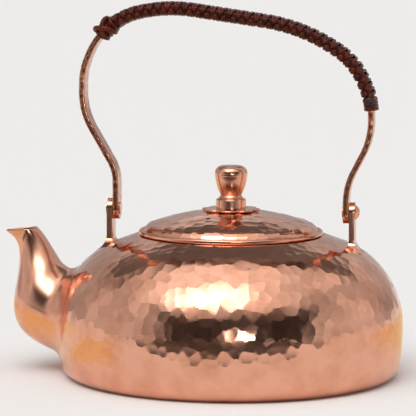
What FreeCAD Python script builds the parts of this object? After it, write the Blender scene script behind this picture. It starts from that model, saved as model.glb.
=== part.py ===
"""Copper kettle with a swinging bail handle, a lift-off lid and an S-shaped spout.

Millimetres.  +Z is up, the origin is the centre of the face that the kettle stands on, the spout
points along -X and the bail stands in the XZ plane.
"""
import FreeCAD, Part
import math
import os
import re

import Sketcher

# Driving sizes: each is (name, value, meaning).  Lengths are in millimetres, angles in degrees.
SIZES = [
    ("body_radius", 95, "widest radius of the vessel"),
    ("belly_height", 29, "height of the widest ring above the base"),
    ("belly_round", 47.5, "radius of the round between belly and shoulder"),
    ("shoulder_slope", 20, "slope of the shoulder, degrees"),
    ("wall_round", 190, "radius of the gently curved lower wall"),
    ("foot_round", 8.5, "radius of the edge between wall and base"),
    ("body_wall", 1.2, "thickness of the raised copper"),
    ("mouth_radius", 46.5, "radius of the mouth cut in the shoulder"),
    ("seat_width", 5.5, "width of the flat seat round the mouth that the lid stands on"),
    ("ring_wall", 1.2, "thickness of the mouth ring"),
    ("ring_depth", 8, "depth of the mouth ring below the seat"),
    ("ring_flange", 3, "width of the mouth ring's flange under the seat"),
    ("spout_wall", 1.2, "thickness of the spout"),
    ("ear_place", 67.1, "distance of each ear's middle from the axis"),
    ("ear_thick", 3, "thickness of an ear"),
    ("ear_width", 11, "width of an ear"),
    ("ear_rise", 19, "height of the pivot above the shoulder under the ear"),
    ("ear_flare_out", 9, "radius of the ear's flare on its outer side"),
    ("ear_flare_in", 3, "radius of the ear's flare on its inner side"),
    ("ear_flare_edge", 4, "radius of the flares on the ear's edges"),
    ("ear_flare_turn", 60, "how far each flare turns before it meets the shoulder, degrees"),
    ("pin_radius", 2, "radius of a bail pin"),
    ("pin_clearance", 0.05, "radial clearance of a pin in its ear"),
    ("head_gap", 0.2, "gap between a pin's outer head and its ear"),
    ("dome_head_radius", 4, "radius of the domed pin head"),
    ("dome_head_height", 2.3, "height of the domed pin head"),
    ("flat_head_radius", 3.2, "radius of a peened pin head"),
    ("flat_head_height", 0.6, "height of a peened pin head"),
    ("bail_thick", 3.2, "thickness of the bail bar"),
    ("bail_width", 12, "width of the bail bar"),
    ("leg_gap", 0.3, "gap between a bail leg and its ear"),
    ("leg_rise", 21, "height of the legs' first bends above the pivot"),
    ("spout_side_bulge", 18.8, "how far the bail's spout side stands outside its leg"),
    ("spout_side_low", 53.5, "height of that side's lower corner above the pivot"),
    ("spout_side_high", 76.5, "height of that side's upper corner above the pivot"),
    ("spout_corner_bulge", 6.3, "how far the corner above it stands outside the leg"),
    ("spout_corner_rise", 105, "height of that corner above the pivot"),
    ("crest_inset", 29.7, "how far the bail's crest stands inside the spout-side leg"),
    ("crest_rise", 111.5, "height of the crest's corner above the pivot"),
    ("far_top_inset", 24.7, "how far the top run's far end stands inside the far leg"),
    ("far_top_rise", 101, "height of that end above the pivot"),
    ("far_corner_bulge", 3.8, "how far the far corner stands outside the far leg"),
    ("far_corner_rise", 82.5, "height of the far corner above the pivot"),
    ("far_side_bulge", 13.3, "how far the bail's far side stands outside its leg"),
    ("far_side_high", 62, "height of that side's upper corner above the pivot"),
    ("far_side_low", 40.5, "height of that side's lower corner above the pivot"),
    ("far_leg_rise", 14.5, "height of the far leg's first bend above the pivot"),
    ("leg_bend", 22, "radius of the spout-side leg's first bend"),
    ("far_leg_bend", 36, "radius of the far leg's first bend"),
    ("side_bend", 39.5, "radius of the bends on both sides of the bail"),
    ("crest_bend", 80, "radius of the bend at the crest"),
    ("far_top_bend", 96, "radius of the bend at the far end of the top run"),
    ("wrap_cord", 2, "thickness of the cord wrapped round the bail"),
    ("knot_extra", 2, "extra thickness of the knot that starts the wrap"),
    ("knot_length", 11, "length of that knot along the bar"),
    ("knot_start", 107, "length of bare bar before the knot"),
    ("collar_extra", 0.6, "extra thickness of the collar that ends the wrap"),
    ("collar_length", 6.5, "length of that collar along the bar"),
    ("collar_end", 64.3, "length of bare bar after the collar"),
    ("wrap_edge_round", 2.8, "rounding of the wrap's long edges"),
    ("lid_margin", 1.3, "how far the lid's rim stops short of its seat's outer edge"),
    ("lid_gap", 0.2, "gap between the resting lid and its seat"),
    ("rim_width", 2.2, "width of the lid's rolled rim"),
    ("rim_height", 2.4, "height of the lid's rolled rim"),
    ("rim_round", 1, "rounding of the rolled rim's edges"),
    ("lid_wall", 1, "thickness of the lid's dome"),
    ("dome_round", 133, "radius of the dome"),
    ("dome_turn", 6.5, "radius of the turn from the dome down to the rim"),
    ("dome_turn_end", 65, "steepest slope of that turn, degrees"),
    ("dome_set", 1.4, "depth of that turn's centre below the dome's lip"),
    ("skirt_clearance", 0.4, "radial clearance of the lid's skirt in the mouth ring"),
    ("skirt_wall", 1, "thickness of the lid's skirt"),
    ("skirt_depth", 6, "depth of the skirt below the seat"),
    ("vent_radius", 1.4, "radius of the steam vent"),
    ("vent_x", -9, "place of the steam vent along X"),
    ("vent_y", -25, "place of the steam vent along Y"),
    ("rosette_thick", 1, "thickness of the rosette"),
    ("rosette_disc", 13, "radius of the rosette's disc"),
    ("petal_place", 11.6, "distance of a petal's middle from the axis"),
    ("petal_radius", 4.4, "radius of a petal's end"),
    ("petal_count", 8, "number of petals"),
    ("knob_height", 23, "height of the knob"),
    ("knob_radius", 8.9, "widest radius of the knob"),
    ("knob_base_radius", 8.3, "radius of the knob's base"),
    ("knob_base_height", 5, "height of the knob's base"),
    ("knob_step", 0.8, "size of the step on the base's upper edge"),
    ("knob_neck_radius", 5.7, "radius of the knob's neck"),
    ("knob_neck_rise", 6.8, "height of the neck's waist"),
    ("knob_ring_proud", 0.5, "how far the ring under the neck stands proud of it"),
    ("knob_ring_height", 1.1, "height of that ring"),
    ("knob_ring_round", 0.6, "rounding of that ring"),
    ("knob_belly_rise", 17.5, "height of the knob's widest ring"),
    ("knob_sweep_round", 30, "radius of the sweep from waist to widest ring"),
    ("knob_crown_round", 4.5, "radius of the knob's upper edge"),
    ("knob_crown_share", 0.66, "flat top's radius as a share of the widest radius"),
    ("stud_radius", 2, "radius of the stud that holds the knob"),
    ("stud_clearance", 0.1, "radial clearance of the stud in the lid"),
    ("stud_bite", 11, "length of the stud inside the knob"),
    ("stud_tail", 1, "length of the stud below the nut"),
    ("washer_radius", 5.5, "radius of the backing washer"),
    ("washer_thick", 0.8, "thickness of the backing washer"),
    ("nut_flats", 7, "width of the nut across its flats"),
    ("nut_height", 3.2, "height of the nut"),
]

# The spout's stations from the root outwards: distance of the centre beyond the vessel's widest
# radius, height of the centre, lean of the section from level (degrees), half size along the
# lean, half size along Y, and how pointed the section is on its outer side.
SPOUT = [
    (-13.0, 31.5, 87, 28.0, 36.0, 0.0),
    (-2.8, 32.9, 82, 23.6, 26.5, 0.0),
    (9.8, 39.4, 63, 22.1, 22.0, 0.0),
    (14.6, 49.1, 48, 18.2, 18.0, 0.0),
    (14.8, 61.1, 33, 11.5, 11.5, 0.0),
    (17.4, 72.6, 17, 7.8, 7.4, 0.1),
    (22.9, 78.4, 8, 8.8, 6.6, 0.45),
]
STATION = ["reach", "rise", "lean", "deep", "wide", "point"]
SECTION_POINTS = 16
BORE_OVERRUN = 1.5
MARGIN = 2

doc = FreeCAD.newDocument("Kettle")
sheet = doc.addObject("Spreadsheet::Sheet", "Sizes")


def fill_sheet():
    """Writes every driving size into the sheet, with its name as the cell's alias."""
    rows = list(SIZES)
    for number, station in enumerate(SPOUT):
        for label, amount in zip(STATION, station):
            rows.append((f"spout_{label}_{number}x", amount, f"spout station {number}, {label}"))
    for row, (name, amount, meaning) in enumerate(rows, start=1):
        sheet.set(f"A{row}", meaning)
        sheet.set(f"B{row}", str(amount))
        sheet.setAlias(f"B{row}", name)
    doc.recompute()
    return {name for name, amount, meaning in rows}


NAMES = fill_sheet()

# Sizes worked out from the driving ones, as formulas of their names.
UPPER_R = "(body_radius - belly_round)"
SHOULDER_R = f"({UPPER_R} + belly_round * sin(shoulder_slope))"
SHOULDER_Z = "(belly_height + belly_round * cos(shoulder_slope))"
SEAT_R = "(mouth_radius + seat_width)"
SEAT_Z = f"({SHOULDER_Z} + ({SHOULDER_R} - {SEAT_R}) * tan(shoulder_slope))"
WALL_R = "(body_radius - wall_round)"
FOOT_R = f"({WALL_R} + sqrt(pow(wall_round - foot_round; 2) - pow(belly_height - foot_round; 2)))"
FOOT_SHARE = "(wall_round / (wall_round - foot_round))"
FOOT_TOP_R = f"({WALL_R} + ({FOOT_R} - {WALL_R}) * {FOOT_SHARE})"
FOOT_TOP_Z = f"(belly_height - (belly_height - foot_round) * {FOOT_SHARE})"
EAR_FOOT_Z = f"(belly_height + sqrt(pow(belly_round; 2) - pow(ear_place - {UPPER_R}; 2)))"
PIVOT_Z = f"({EAR_FOOT_Z} + ear_rise)"
LEG_X = "(ear_place - ear_thick / 2 - leg_gap - bail_thick / 2)"
LID_R = f"({SEAT_R} - lid_margin)"
RIM_Z = f"({SEAT_Z} + lid_gap)"
LIP_R = f"({LID_R} - rim_width)"
LIP_Z = f"({RIM_Z} + rim_height - rim_round)"
SKIRT_R = "(mouth_radius - ring_wall - skirt_clearance)"
SKIRT_INNER_R = f"({SKIRT_R} - skirt_wall)"
DOME_LEAN = f"asin({SKIRT_INNER_R} / (dome_round - lid_wall))"
DOME_EDGE_R = f"(dome_round * sin({DOME_LEAN}))"
TURN_R = f"((dome_round - dome_turn) * sin({DOME_LEAN}))"
TURN_Z = f"({LIP_Z} - dome_set)"
DOME_CENTRE = f"({TURN_Z} - (dome_round - dome_turn) * cos({DOME_LEAN}))"
DOME_TOP = f"({DOME_CENTRE} + dome_round)"
KNOB_Z = f"({DOME_TOP} + rosette_thick)"
WASHER_TOP = f"({DOME_CENTRE} + sqrt(pow(dome_round - lid_wall; 2) - pow(washer_radius; 2)))"
NUT_TOP = f"({WASHER_TOP} - washer_thick)"
STUD_END = f"({NUT_TOP} - nut_height - stud_tail)"


def value(text):
    """The number that a formula of named sizes gives."""
    return float(sheet.evalExpression(str(text)))


def bind(item, prop, text):
    """Ties a property to a formula of named sizes."""
    tied = re.sub(r"[a-z]\w+", lambda m: f"Sizes.{m[0]}" if m[0] in NAMES else m[0], str(text))
    item.setExpression(prop, tied)


def make_body(label):
    body = doc.addObject("PartDesign::Body", label)
    body.Label = label
    return body


def make_sketch(body, name, plane):
    sketch = body.newObject("Sketcher::SketchObject", name)
    support = [part for part in body.Origin.OriginFeatures if part.Role == plane]
    sketch.AttachmentSupport = [(support[0], "")]
    sketch.MapMode = "FlatFace"
    return sketch


def pin_down(sketch, edge, end, x, y):
    """Ties one end of an edge to a place given by two formulas."""
    for kind, text, axis in (("DistanceX", x, -2), ("DistanceY", y, -1)):
        if abs(value(text)) < 1e-9:
            sketch.addConstraint(Sketcher.Constraint("PointOnObject", edge, end, axis))
        else:
            index = sketch.addConstraint(Sketcher.Constraint(kind, edge, end, value(text)))
            bind(sketch, f"Constraints[{index}]", text)


def arc_between(a, b, radius, turn):
    """The short arc from a to b; turn is 1 for counter-clockwise and -1 for clockwise."""
    middle = (a + b) * 0.5
    chord = b - a
    side = FreeCAD.Vector(-chord.y, chord.x, 0).normalize()
    centre = middle + side * turn * math.sqrt(max(radius ** 2 - chord.Length ** 2 / 4, 0))
    round_edge = Part.Circle(centre, FreeCAD.Vector(0, 0, 1), radius)
    first, last = (a, b) if turn > 0 else (b, a)
    return Part.ArcOfCircle(round_edge, round_edge.parameter(first), round_edge.parameter(last))


def outline(sketch, steps):
    """Closes a profile through steps: (x, y) is reached straight, (x, y, radius, turn) round."""
    places = [FreeCAD.Vector(value(step[0]), value(step[1]), 0) for step in steps]
    ends = []
    for before, here, step in zip(places[-1:] + places, places, steps):
        if len(step) == 2:
            edge = sketch.addGeometry(Part.LineSegment(before, here))
            ends.append((edge, 1, 2))
        else:
            edge = sketch.addGeometry(arc_between(before, here, value(step[2]), step[3]))
            ends.append((edge, 1, 2) if step[3] > 0 else (edge, 2, 1))
            number = sketch.addConstraint(Sketcher.Constraint("Radius", edge, value(step[2])))
            bind(sketch, f"Constraints[{number}]", step[2])
    for index, (edge, start, finish) in enumerate(ends):
        following, following_start, _ = ends[(index + 1) % len(ends)]
        sketch.addConstraint(
            Sketcher.Constraint("Coincident", edge, finish, following, following_start))
        pin_down(sketch, edge, finish, steps[index][0], steps[index][1])
    return sketch


def circle(sketch, x, y, radius):
    centre = FreeCAD.Vector(value(x), value(y), 0)
    edge = sketch.addGeometry(Part.Circle(centre, FreeCAD.Vector(0, 0, 1), value(radius)))
    index = sketch.addConstraint(Sketcher.Constraint("Radius", edge, value(radius)))
    bind(sketch, f"Constraints[{index}]", radius)
    pin_down(sketch, edge, 3, x, y)
    return sketch


def turned(label, steps):
    """A body turned about Z from a profile of radius and height."""
    body = make_body(label)
    sketch = outline(make_sketch(body, f"{label}_profile", "XZ_Plane"), steps)
    turn = body.newObject("PartDesign::Revolution", f"{label}_turn")
    turn.Profile = sketch
    turn.ReferenceAxis = (sketch, ["V_Axis"])
    turn.Angle = 360
    return body


def padded(body, sketch, depth):
    """Pads a sketch to both sides of its plane, depth in all."""
    pad = body.newObject("PartDesign::Pad", f"{sketch.Name}_pad")
    pad.Profile = sketch
    pad.SideType = "Symmetric"
    bind(pad, "Length", depth)
    return pad


def pierced(body, sketch):
    """Cuts a sketch right through the body, to both sides of its plane."""
    pocket = body.newObject("PartDesign::Pocket", f"{sketch.Name}_cut")
    pocket.Profile = sketch
    pocket.Type = "ThroughAll"
    pocket.SideType = "Symmetric"
    return pocket


def cut(label, base, tool):
    item = doc.addObject("Part::Cut", label)
    item.Label = label
    item.Base = base
    item.Tool = tool
    return item


def vessel_outside():
    """The vessel's outer profile, from the seat's outer edge down to the base's edge."""
    return [
        (SEAT_R, SEAT_Z),
        (SHOULDER_R, SHOULDER_Z),
        ("body_radius", "belly_height", "belly_round", -1),
        (FOOT_TOP_R, FOOT_TOP_Z, "wall_round", -1),
        (FOOT_R, "0", "foot_round", -1),
    ]


def make_envelope():
    """The space inside the vessel's outer face, which what is brazed to it is fitted round."""
    return turned("vessel_envelope", [("0", SEAT_Z)] + vessel_outside() + [("0", "0")])


def make_vessel():
    """The raised copper vessel before the spout's port is cut: one wall of even thickness."""
    inside = [
        ("0", "0"),
        ("0", "body_wall"),
        (FOOT_R, "body_wall"),
        (f"{FOOT_TOP_R} - body_wall * ({FOOT_TOP_R} - {FOOT_R}) / foot_round",
         f"{FOOT_TOP_Z} + body_wall * (foot_round - {FOOT_TOP_Z}) / foot_round",
         "foot_round - body_wall", 1),
        ("body_radius - body_wall", "belly_height", "wall_round - body_wall", 1),
        (f"{SHOULDER_R} - body_wall * sin(shoulder_slope)",
         f"{SHOULDER_Z} - body_wall * cos(shoulder_slope)", "belly_round - body_wall", 1),
        (f"{SEAT_R} - body_wall * tan(shoulder_slope / 2)", f"{SEAT_Z} - body_wall"),
        ("mouth_radius", f"{SEAT_Z} - body_wall"),
        ("mouth_radius", SEAT_Z),
    ]
    return turned("vessel_blank", vessel_outside() + inside)


def make_mouth_ring():
    """An angle ring brazed under the seat, which stiffens the mouth and guides the lid."""
    under = f"({SEAT_Z} - body_wall)"
    turned("mouth_ring", [
        ("mouth_radius", under),
        ("mouth_radius + ring_flange", under),
        ("mouth_radius + ring_flange", f"{under} - ring_wall"),
        ("mouth_radius", f"{under} - ring_wall"),
        ("mouth_radius", f"{SEAT_Z} - ring_depth"),
        ("mouth_radius - ring_wall", f"{SEAT_Z} - ring_depth"),
        ("mouth_radius - ring_wall", SEAT_Z),
        ("mouth_radius", SEAT_Z),
    ])


def station(number):
    return [value(f"spout_{label}_{number}x") for label in STATION]


def spout_section(number, shrink, along=0):
    """A closed smooth curve round one station, shrunk by a wall and slid along the spout."""
    reach, rise, lean, deep, wide, point = station(number)
    lean = math.radians(lean)
    up = FreeCAD.Vector(math.cos(lean), 0, math.sin(lean))
    out = FreeCAD.Vector(-math.sin(lean), 0, math.cos(lean))
    centre = FreeCAD.Vector(-value("body_radius") - reach, 0, rise) + out * along
    points = []
    for step in range(SECTION_POINTS + 1):
        angle = 2 * math.pi * step / SECTION_POINTS
        across = (wide - shrink) * math.sin(angle) * (1 + point * math.cos(angle))
        points.append(centre + up * (deep - shrink) * math.cos(angle)
                      + FreeCAD.Vector(0, across, 0))
    curve = Part.BSplineCurve()
    curve.interpolate(points)
    return Part.Wire([curve.toShape()])


def make_spout_solid(label, shrink, overrun):
    """The spout's outer or inner space: a smooth loft through its stations."""
    last = len(SPOUT) - 1
    sections = [spout_section(number, shrink) for number in range(last)]
    sections.append(spout_section(last, shrink, overrun))
    item = doc.addObject("Part::Feature", label)
    item.Shape = Part.makeLoft(sections, True, False)
    item.Label = label
    return item


def flare(radius):
    """How far a flare of this radius stands out, and how far it drops, as formulas."""
    return (f"({radius} * (1 - cos(ear_flare_turn)))", f"({radius} * sin(ear_flare_turn))")


def make_ear(envelope):
    """The far ear: a forged bar with a round top, flared where it is brazed to the shoulder."""
    side = make_body("ear_side")
    inner = "(ear_place - ear_thick / 2)"
    outer = "(ear_place + ear_thick / 2)"
    low = f"({EAR_FOOT_Z} - ear_flare_out)"
    top = f"({PIVOT_Z} + ear_width / 2)"
    out_reach, out_drop = flare("ear_flare_out")
    in_reach, in_drop = flare("ear_flare_in")
    outline(make_sketch(side, "ear_side_profile", "XZ_Plane"), [
        (outer, f"{EAR_FOOT_Z} + ear_flare_out / 2"),
        (f"{outer} + {out_reach}", f"{EAR_FOOT_Z} + ear_flare_out / 2 - {out_drop}",
         "ear_flare_out", 1),
        (f"{outer} + {out_reach}", low),
        (f"{inner} - {in_reach}", low),
        (f"{inner} - {in_reach}", f"{EAR_FOOT_Z} + ear_flare_in - {in_drop}"),
        (inner, f"{EAR_FOOT_Z} + ear_flare_in", "ear_flare_in", 1),
        (inner, top),
        (outer, top),
    ])
    padded(side, doc.ear_side_profile, "2 * ear_width + 4 * ear_flare_edge")
    front = make_body("ear_front")
    half = "(ear_width / 2)"
    flare_top = f"({EAR_FOOT_Z} + ear_flare_edge)"
    edge_reach, edge_drop = flare("ear_flare_edge")
    outline(make_sketch(front, "ear_front_profile", "YZ_Plane"), [
        (half, PIVOT_Z, half, -1),
        (half, flare_top),
        (f"{half} + {edge_reach}", f"{flare_top} - {edge_drop}", "ear_flare_edge", 1),
        (f"{half} + {edge_reach}", low),
        (f"-{half} - {edge_reach}", low),
        (f"-{half} - {edge_reach}", f"{flare_top} - {edge_drop}"),
        (f"-{half}", flare_top, "ear_flare_edge", 1),
        (f"-{half}", PIVOT_Z),
        ("0", top, half, -1),
    ])
    padded(front, doc.ear_front_profile, "4 * body_radius")
    blank = doc.addObject("Part::Common", "ear_blank")
    blank.Base = side
    blank.Tool = front
    bore = doc.addObject("Part::Cylinder", "ear_bore")
    bind(bore, "Radius", "pin_radius + pin_clearance")
    bind(bore, "Height", "body_radius")
    bore.Placement.Rotation = FreeCAD.Rotation(FreeCAD.Vector(0, 1, 0), 90)
    bind(bore, "Placement.Base.z", PIVOT_Z)
    bored = cut("ear_bored", blank, bore)
    far = cut("ear_far", bored, envelope)
    near = doc.addObject("Part::Mirroring", "ear_spout_side")
    near.Label = "ear_spout_side"
    near.Source = far
    near.Normal = FreeCAD.Vector(1, 0, 0)


def make_pin(label, side, head_radius, head_height, domed):
    """A bail pin, modelled along Z from the ear's outer face and laid along X."""
    grip = "(ear_thick + leg_gap + bail_thick)"
    steps = [
        ("pin_radius", "head_gap"),
        (head_radius, "head_gap"),
    ]
    if domed:
        round_radius = f"(pow({head_radius}; 2) + pow({head_height}; 2)) / (2 * {head_height})"
        steps.append(("0", f"head_gap + {head_height}", round_radius, 1))
    else:
        steps += [(head_radius, f"head_gap + {head_height}"), ("0", f"head_gap + {head_height}")]
    steps += [
        ("0", f"-{grip} - flat_head_height"),
        ("flat_head_radius", f"-{grip} - flat_head_height"),
        ("flat_head_radius", f"-{grip}"),
        ("pin_radius", f"-{grip}"),
    ]
    body = turned(label, steps)
    body.Placement.Rotation = FreeCAD.Rotation(FreeCAD.Vector(0, 1, 0), 90 * side)
    bind(body, "Placement.Base.x", f"{side} * (ear_place + ear_thick / 2)")
    bind(body, "Placement.Base.z", PIVOT_Z)


def bail_corners():
    """The corners of the bail's middle line, each with its bend radius, from the spout side."""
    return [
        (f"-{LEG_X}", f"{PIVOT_Z} + leg_rise", "leg_bend"),
        (f"-{LEG_X} - spout_side_bulge", f"{PIVOT_Z} + spout_side_low", "side_bend"),
        (f"-{LEG_X} - spout_side_bulge", f"{PIVOT_Z} + spout_side_high", "side_bend"),
        (f"-{LEG_X} - spout_corner_bulge", f"{PIVOT_Z} + spout_corner_rise", "side_bend"),
        (f"-{LEG_X} + crest_inset", f"{PIVOT_Z} + crest_rise", "crest_bend"),
        (f"{LEG_X} - far_top_inset", f"{PIVOT_Z} + far_top_rise", "far_top_bend"),
        (f"{LEG_X} + far_corner_bulge", f"{PIVOT_Z} + far_corner_rise", "side_bend"),
        (f"{LEG_X} + far_side_bulge", f"{PIVOT_Z} + far_side_high", "side_bend"),
        (f"{LEG_X} + far_side_bulge", f"{PIVOT_Z} + far_side_low", "side_bend"),
        (LEG_X, f"{PIVOT_Z} + far_leg_rise", "far_leg_bend"),
    ]


def bail_path(sketch):
    """Draws the bail's middle line: straight runs joined by bends that touch them."""
    foot = f"{PIVOT_Z} - bail_width / 2"
    corners = bail_corners()
    stops = [(f"-{LEG_X}", foot)] + [corner[:2] for corner in corners] + [(LEG_X, foot)]
    places = [FreeCAD.Vector(value(x), value(y), 0) for x, y in stops]
    headings = [(b - a).normalize() for a, b in zip(places, places[1:])]
    turns = [before.cross(after).z for before, after in zip(headings, headings[1:])]
    radii = [value(corner[2]) for corner in corners]
    cuts = [radius * math.tan(math.asin(abs(turn)) / 2) for radius, turn in zip(radii, turns)]
    cuts = [0] + cuts + [0]
    lines = []
    for index, heading in enumerate(headings):
        start = places[index] + heading * cuts[index]
        finish = places[index + 1] - heading * cuts[index + 1]
        lines.append(sketch.addGeometry(Part.LineSegment(start, finish)))
    for index, (x, y, radius) in enumerate(corners):
        leave = places[index + 1] - headings[index] * cuts[index + 1]
        join = places[index + 1] + headings[index + 1] * cuts[index + 1]
        turn = 1 if turns[index] > 0 else -1
        bend = sketch.addGeometry(arc_between(leave, join, radii[index], turn))
        first, last = (1, 2) if turn > 0 else (2, 1)
        sketch.addConstraint(Sketcher.Constraint("Tangent", lines[index], 2, bend, first))
        sketch.addConstraint(Sketcher.Constraint("Tangent", bend, last, lines[index + 1], 1))
        number = sketch.addConstraint(Sketcher.Constraint("Radius", bend, radii[index]))
        bind(sketch, f"Constraints[{number}]", radius)
        corner = sketch.addGeometry(Part.Point(places[index + 1]), True)
        pin_down(sketch, corner, 1, x, y)
        for line in (lines[index], lines[index + 1]):
            sketch.addConstraint(Sketcher.Constraint("PointOnObject", corner, 1, line))
    pin_down(sketch, lines[0], 1, *stops[0])
    pin_down(sketch, lines[-1], 2, *stops[-1])
    return sketch


def make_bail_bar():
    """One flat bar bent in one plane, with round drilled eyes at both ends."""
    body = make_body("bail_bar")
    path = bail_path(make_sketch(body, "bail_path", "XZ_Plane"))
    section = make_sketch(body, "bail_section", "XY_Plane")
    bind(section, "AttachmentOffset.Base.z", f"{PIVOT_Z} - bail_width / 2")
    left = f"-{LEG_X} - bail_thick / 2"
    right = f"-{LEG_X} + bail_thick / 2"
    outline(section, [
        (right, "bail_width / 2"),
        (left, "bail_width / 2"),
        (left, "-bail_width / 2"),
        (right, "-bail_width / 2"),
    ])
    doc.recompute()
    sweep = body.newObject("PartDesign::AdditivePipe", "bail_sweep")
    sweep.Profile = section
    sweep.Spine = (path, [f"Edge{number + 1}" for number in range(len(path.Shape.Edges))])
    eyes = make_sketch(body, "bail_eyes", "YZ_Plane")
    half = "(bail_width / 2)"
    foot = f"({PIVOT_Z} - {half})"
    outline(eyes, [
        (f"-{half}", PIVOT_Z),
        ("0", foot, half, 1),
        (half, PIVOT_Z, half, 1),
        (f"{half} + {MARGIN}", PIVOT_Z),
        (f"{half} + {MARGIN}", f"{foot} - {MARGIN}"),
        (f"-{half} - {MARGIN}", f"{foot} - {MARGIN}"),
        (f"-{half} - {MARGIN}", PIVOT_Z),
    ])
    pierced(body, eyes)
    holes = circle(make_sketch(body, "bail_holes", "YZ_Plane"), "0", PIVOT_Z, "pin_radius")
    pierced(body, holes)
    return path


def stretch(path, start, finish):
    """The part of the bail's middle line between two lengths from its spout-side end."""
    wire = Part.Wire(Part.__sortEdges__(path.Shape.Edges))
    edges = []
    done = 0
    for edge in wire.OrderedEdges:
        low = max(start - done, 0)
        high = min(finish - done, edge.Length)
        if high - low > 1e-6:
            forward = edge.Orientation == "Forward"
            span = (low, high) if forward else (edge.Length - high, edge.Length - low)
            first = edge.getParameterByLength(span[0])
            last = edge.getParameterByLength(span[1])
            edges.append(edge.Curve.toShape(first, last))
        done += edge.Length
    return Part.Wire(Part.__sortEdges__(edges))


def path_length(path):
    return sum(edge.Length for edge in path.Shape.Edges)


def make_sleeve(label, path, start, finish, cover):
    """A closed sleeve of bound cord round a stretch of the bar, with rounded long edges."""
    spine = stretch(path, start, finish)
    begin = spine.OrderedVertexes[0].Point
    heading = spine.OrderedEdges[0].tangentAt(spine.OrderedEdges[0].FirstParameter)
    if spine.OrderedEdges[0].Orientation == "Reversed":
        heading = spine.OrderedEdges[0].tangentAt(spine.OrderedEdges[0].LastParameter) * -1
    across = FreeCAD.Vector(0, 1, 0)
    through = heading.cross(across)
    thick = value("bail_thick") / 2
    wide = value("bail_width") / 2
    solids = []
    for half_through, half_across, rounding in (
            (thick + cover, wide + cover, value("wrap_edge_round")), (thick, wide, 0)):
        corners = [begin + through * half_through * a + across * half_across * b
                   for a, b in ((-1, -1), (1, -1), (1, 1), (-1, 1), (-1, -1))]
        section = Part.makePolygon(corners)
        pipe = Part.BRepOffsetAPI.MakePipeShell(spine)
        pipe.setBiNormalMode(across)
        pipe.add(rounded_loop(corners[:4], rounding) if rounding else section)
        pipe.build()
        pipe.makeSolid()
        solids.append(pipe.shape())
    item = doc.addObject("Part::Feature", label)
    item.Shape = solids[0].cut(solids[1])
    item.Label = label


def rounded_loop(corners, radius):
    """A closed loop of straight runs with round corners, all of one radius."""
    edges = []
    count = len(corners)
    joins = []
    for index, corner in enumerate(corners):
        before = (corners[index - 1] - corner).normalize()
        after = (corners[(index + 1) % count] - corner).normalize()
        first = corner + before * radius
        last = corner + after * radius
        middle = corner + (before + after) * radius * (1 - math.sqrt(0.5))
        joins.append((first, middle, last))
    for index, (first, middle, last) in enumerate(joins):
        edges.append(Part.Arc(first, middle, last).toShape())
        edges.append(Part.LineSegment(last, joins[(index + 1) % count][0]).toShape())
    return Part.Wire(edges)


def make_wrap(path):
    """The plaited cord round the top of the bail, with the knot and collar that end it."""
    cord = value("wrap_cord")
    knot_start = value("knot_start")
    knot_end = knot_start + value("knot_length")
    collar_end = path_length(path) - value("collar_end")
    collar_start = collar_end - value("collar_length")
    make_sleeve("wrap_knot", path, knot_start, knot_end, cord + value("knot_extra"))
    make_sleeve("cord_wrap", path, knot_end, collar_start, cord)
    make_sleeve("wrap_collar", path, collar_start, collar_end, cord + value("collar_extra"))


def dome_height(radius, inward):
    """The dome's height at a radius, on a face that lies inward of the outer one."""
    return f"({DOME_CENTRE} + sqrt(pow(dome_round - {inward}; 2) - pow({radius}; 2)))"


def make_lid_dome():
    """The hammered dome: a shallow cap that turns down steeply to a flat lip inside the rim."""
    hole = "(stud_radius + stud_clearance)"
    under_turn = "(dome_turn - lid_wall)"
    foot_r = f"({TURN_R} + dome_turn * sin(dome_turn_end))"
    foot_z = f"({TURN_Z} + dome_turn * cos(dome_turn_end))"
    under_foot_r = f"({TURN_R} + {under_turn} * sin(dome_turn_end))"
    under_foot_z = f"({TURN_Z} + {under_turn} * cos(dome_turn_end))"
    body = turned("lid_dome", [
        (hole, dome_height(hole, "0")),
        (DOME_EDGE_R, dome_height(DOME_EDGE_R, "0"), "dome_round", -1),
        (foot_r, foot_z, "dome_turn", -1),
        (LIP_R, LIP_Z),
        (LIP_R, f"{LIP_Z} - lid_wall"),
        (f"{LIP_R} - lid_wall", f"{LIP_Z} - lid_wall"),
        (under_foot_r, under_foot_z),
        (SKIRT_INNER_R, dome_height(SKIRT_INNER_R, "lid_wall"), under_turn, 1),
        (hole, dome_height(hole, "lid_wall"), "dome_round - lid_wall", 1),
    ])
    pierced(body, circle(make_sketch(body, "vent", "XY_Plane"), "vent_x", "vent_y", "vent_radius"))


def make_lid_rim():
    """The rolled rim round the lid's edge."""
    top = f"({RIM_Z} + rim_height)"
    turned("lid_rim", [
        (LIP_R, RIM_Z),
        (LIP_R, top),
        (f"{LID_R} - rim_round", top),
        (LID_R, f"{top} - rim_round", "rim_round", -1),
        (LID_R, f"{RIM_Z} + rim_round"),
        (f"{LID_R} - rim_round", RIM_Z, "rim_round", -1),
    ])


def make_lid_skirt():
    """The skirt brazed under the dome's turn, which drops into the mouth ring."""
    under_turn = "(dome_turn - lid_wall)"
    outer_top = f"({TURN_Z} + sqrt(pow({under_turn}; 2) - pow({SKIRT_R} - {TURN_R}; 2)))"
    turned("lid_skirt", [
        (SKIRT_R, f"{SEAT_Z} - skirt_depth"),
        (SKIRT_INNER_R, f"{SEAT_Z} - skirt_depth"),
        (SKIRT_INNER_R, dome_height(SKIRT_INNER_R, "lid_wall")),
        (SKIRT_R, outer_top, under_turn, -1),
    ])


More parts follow.
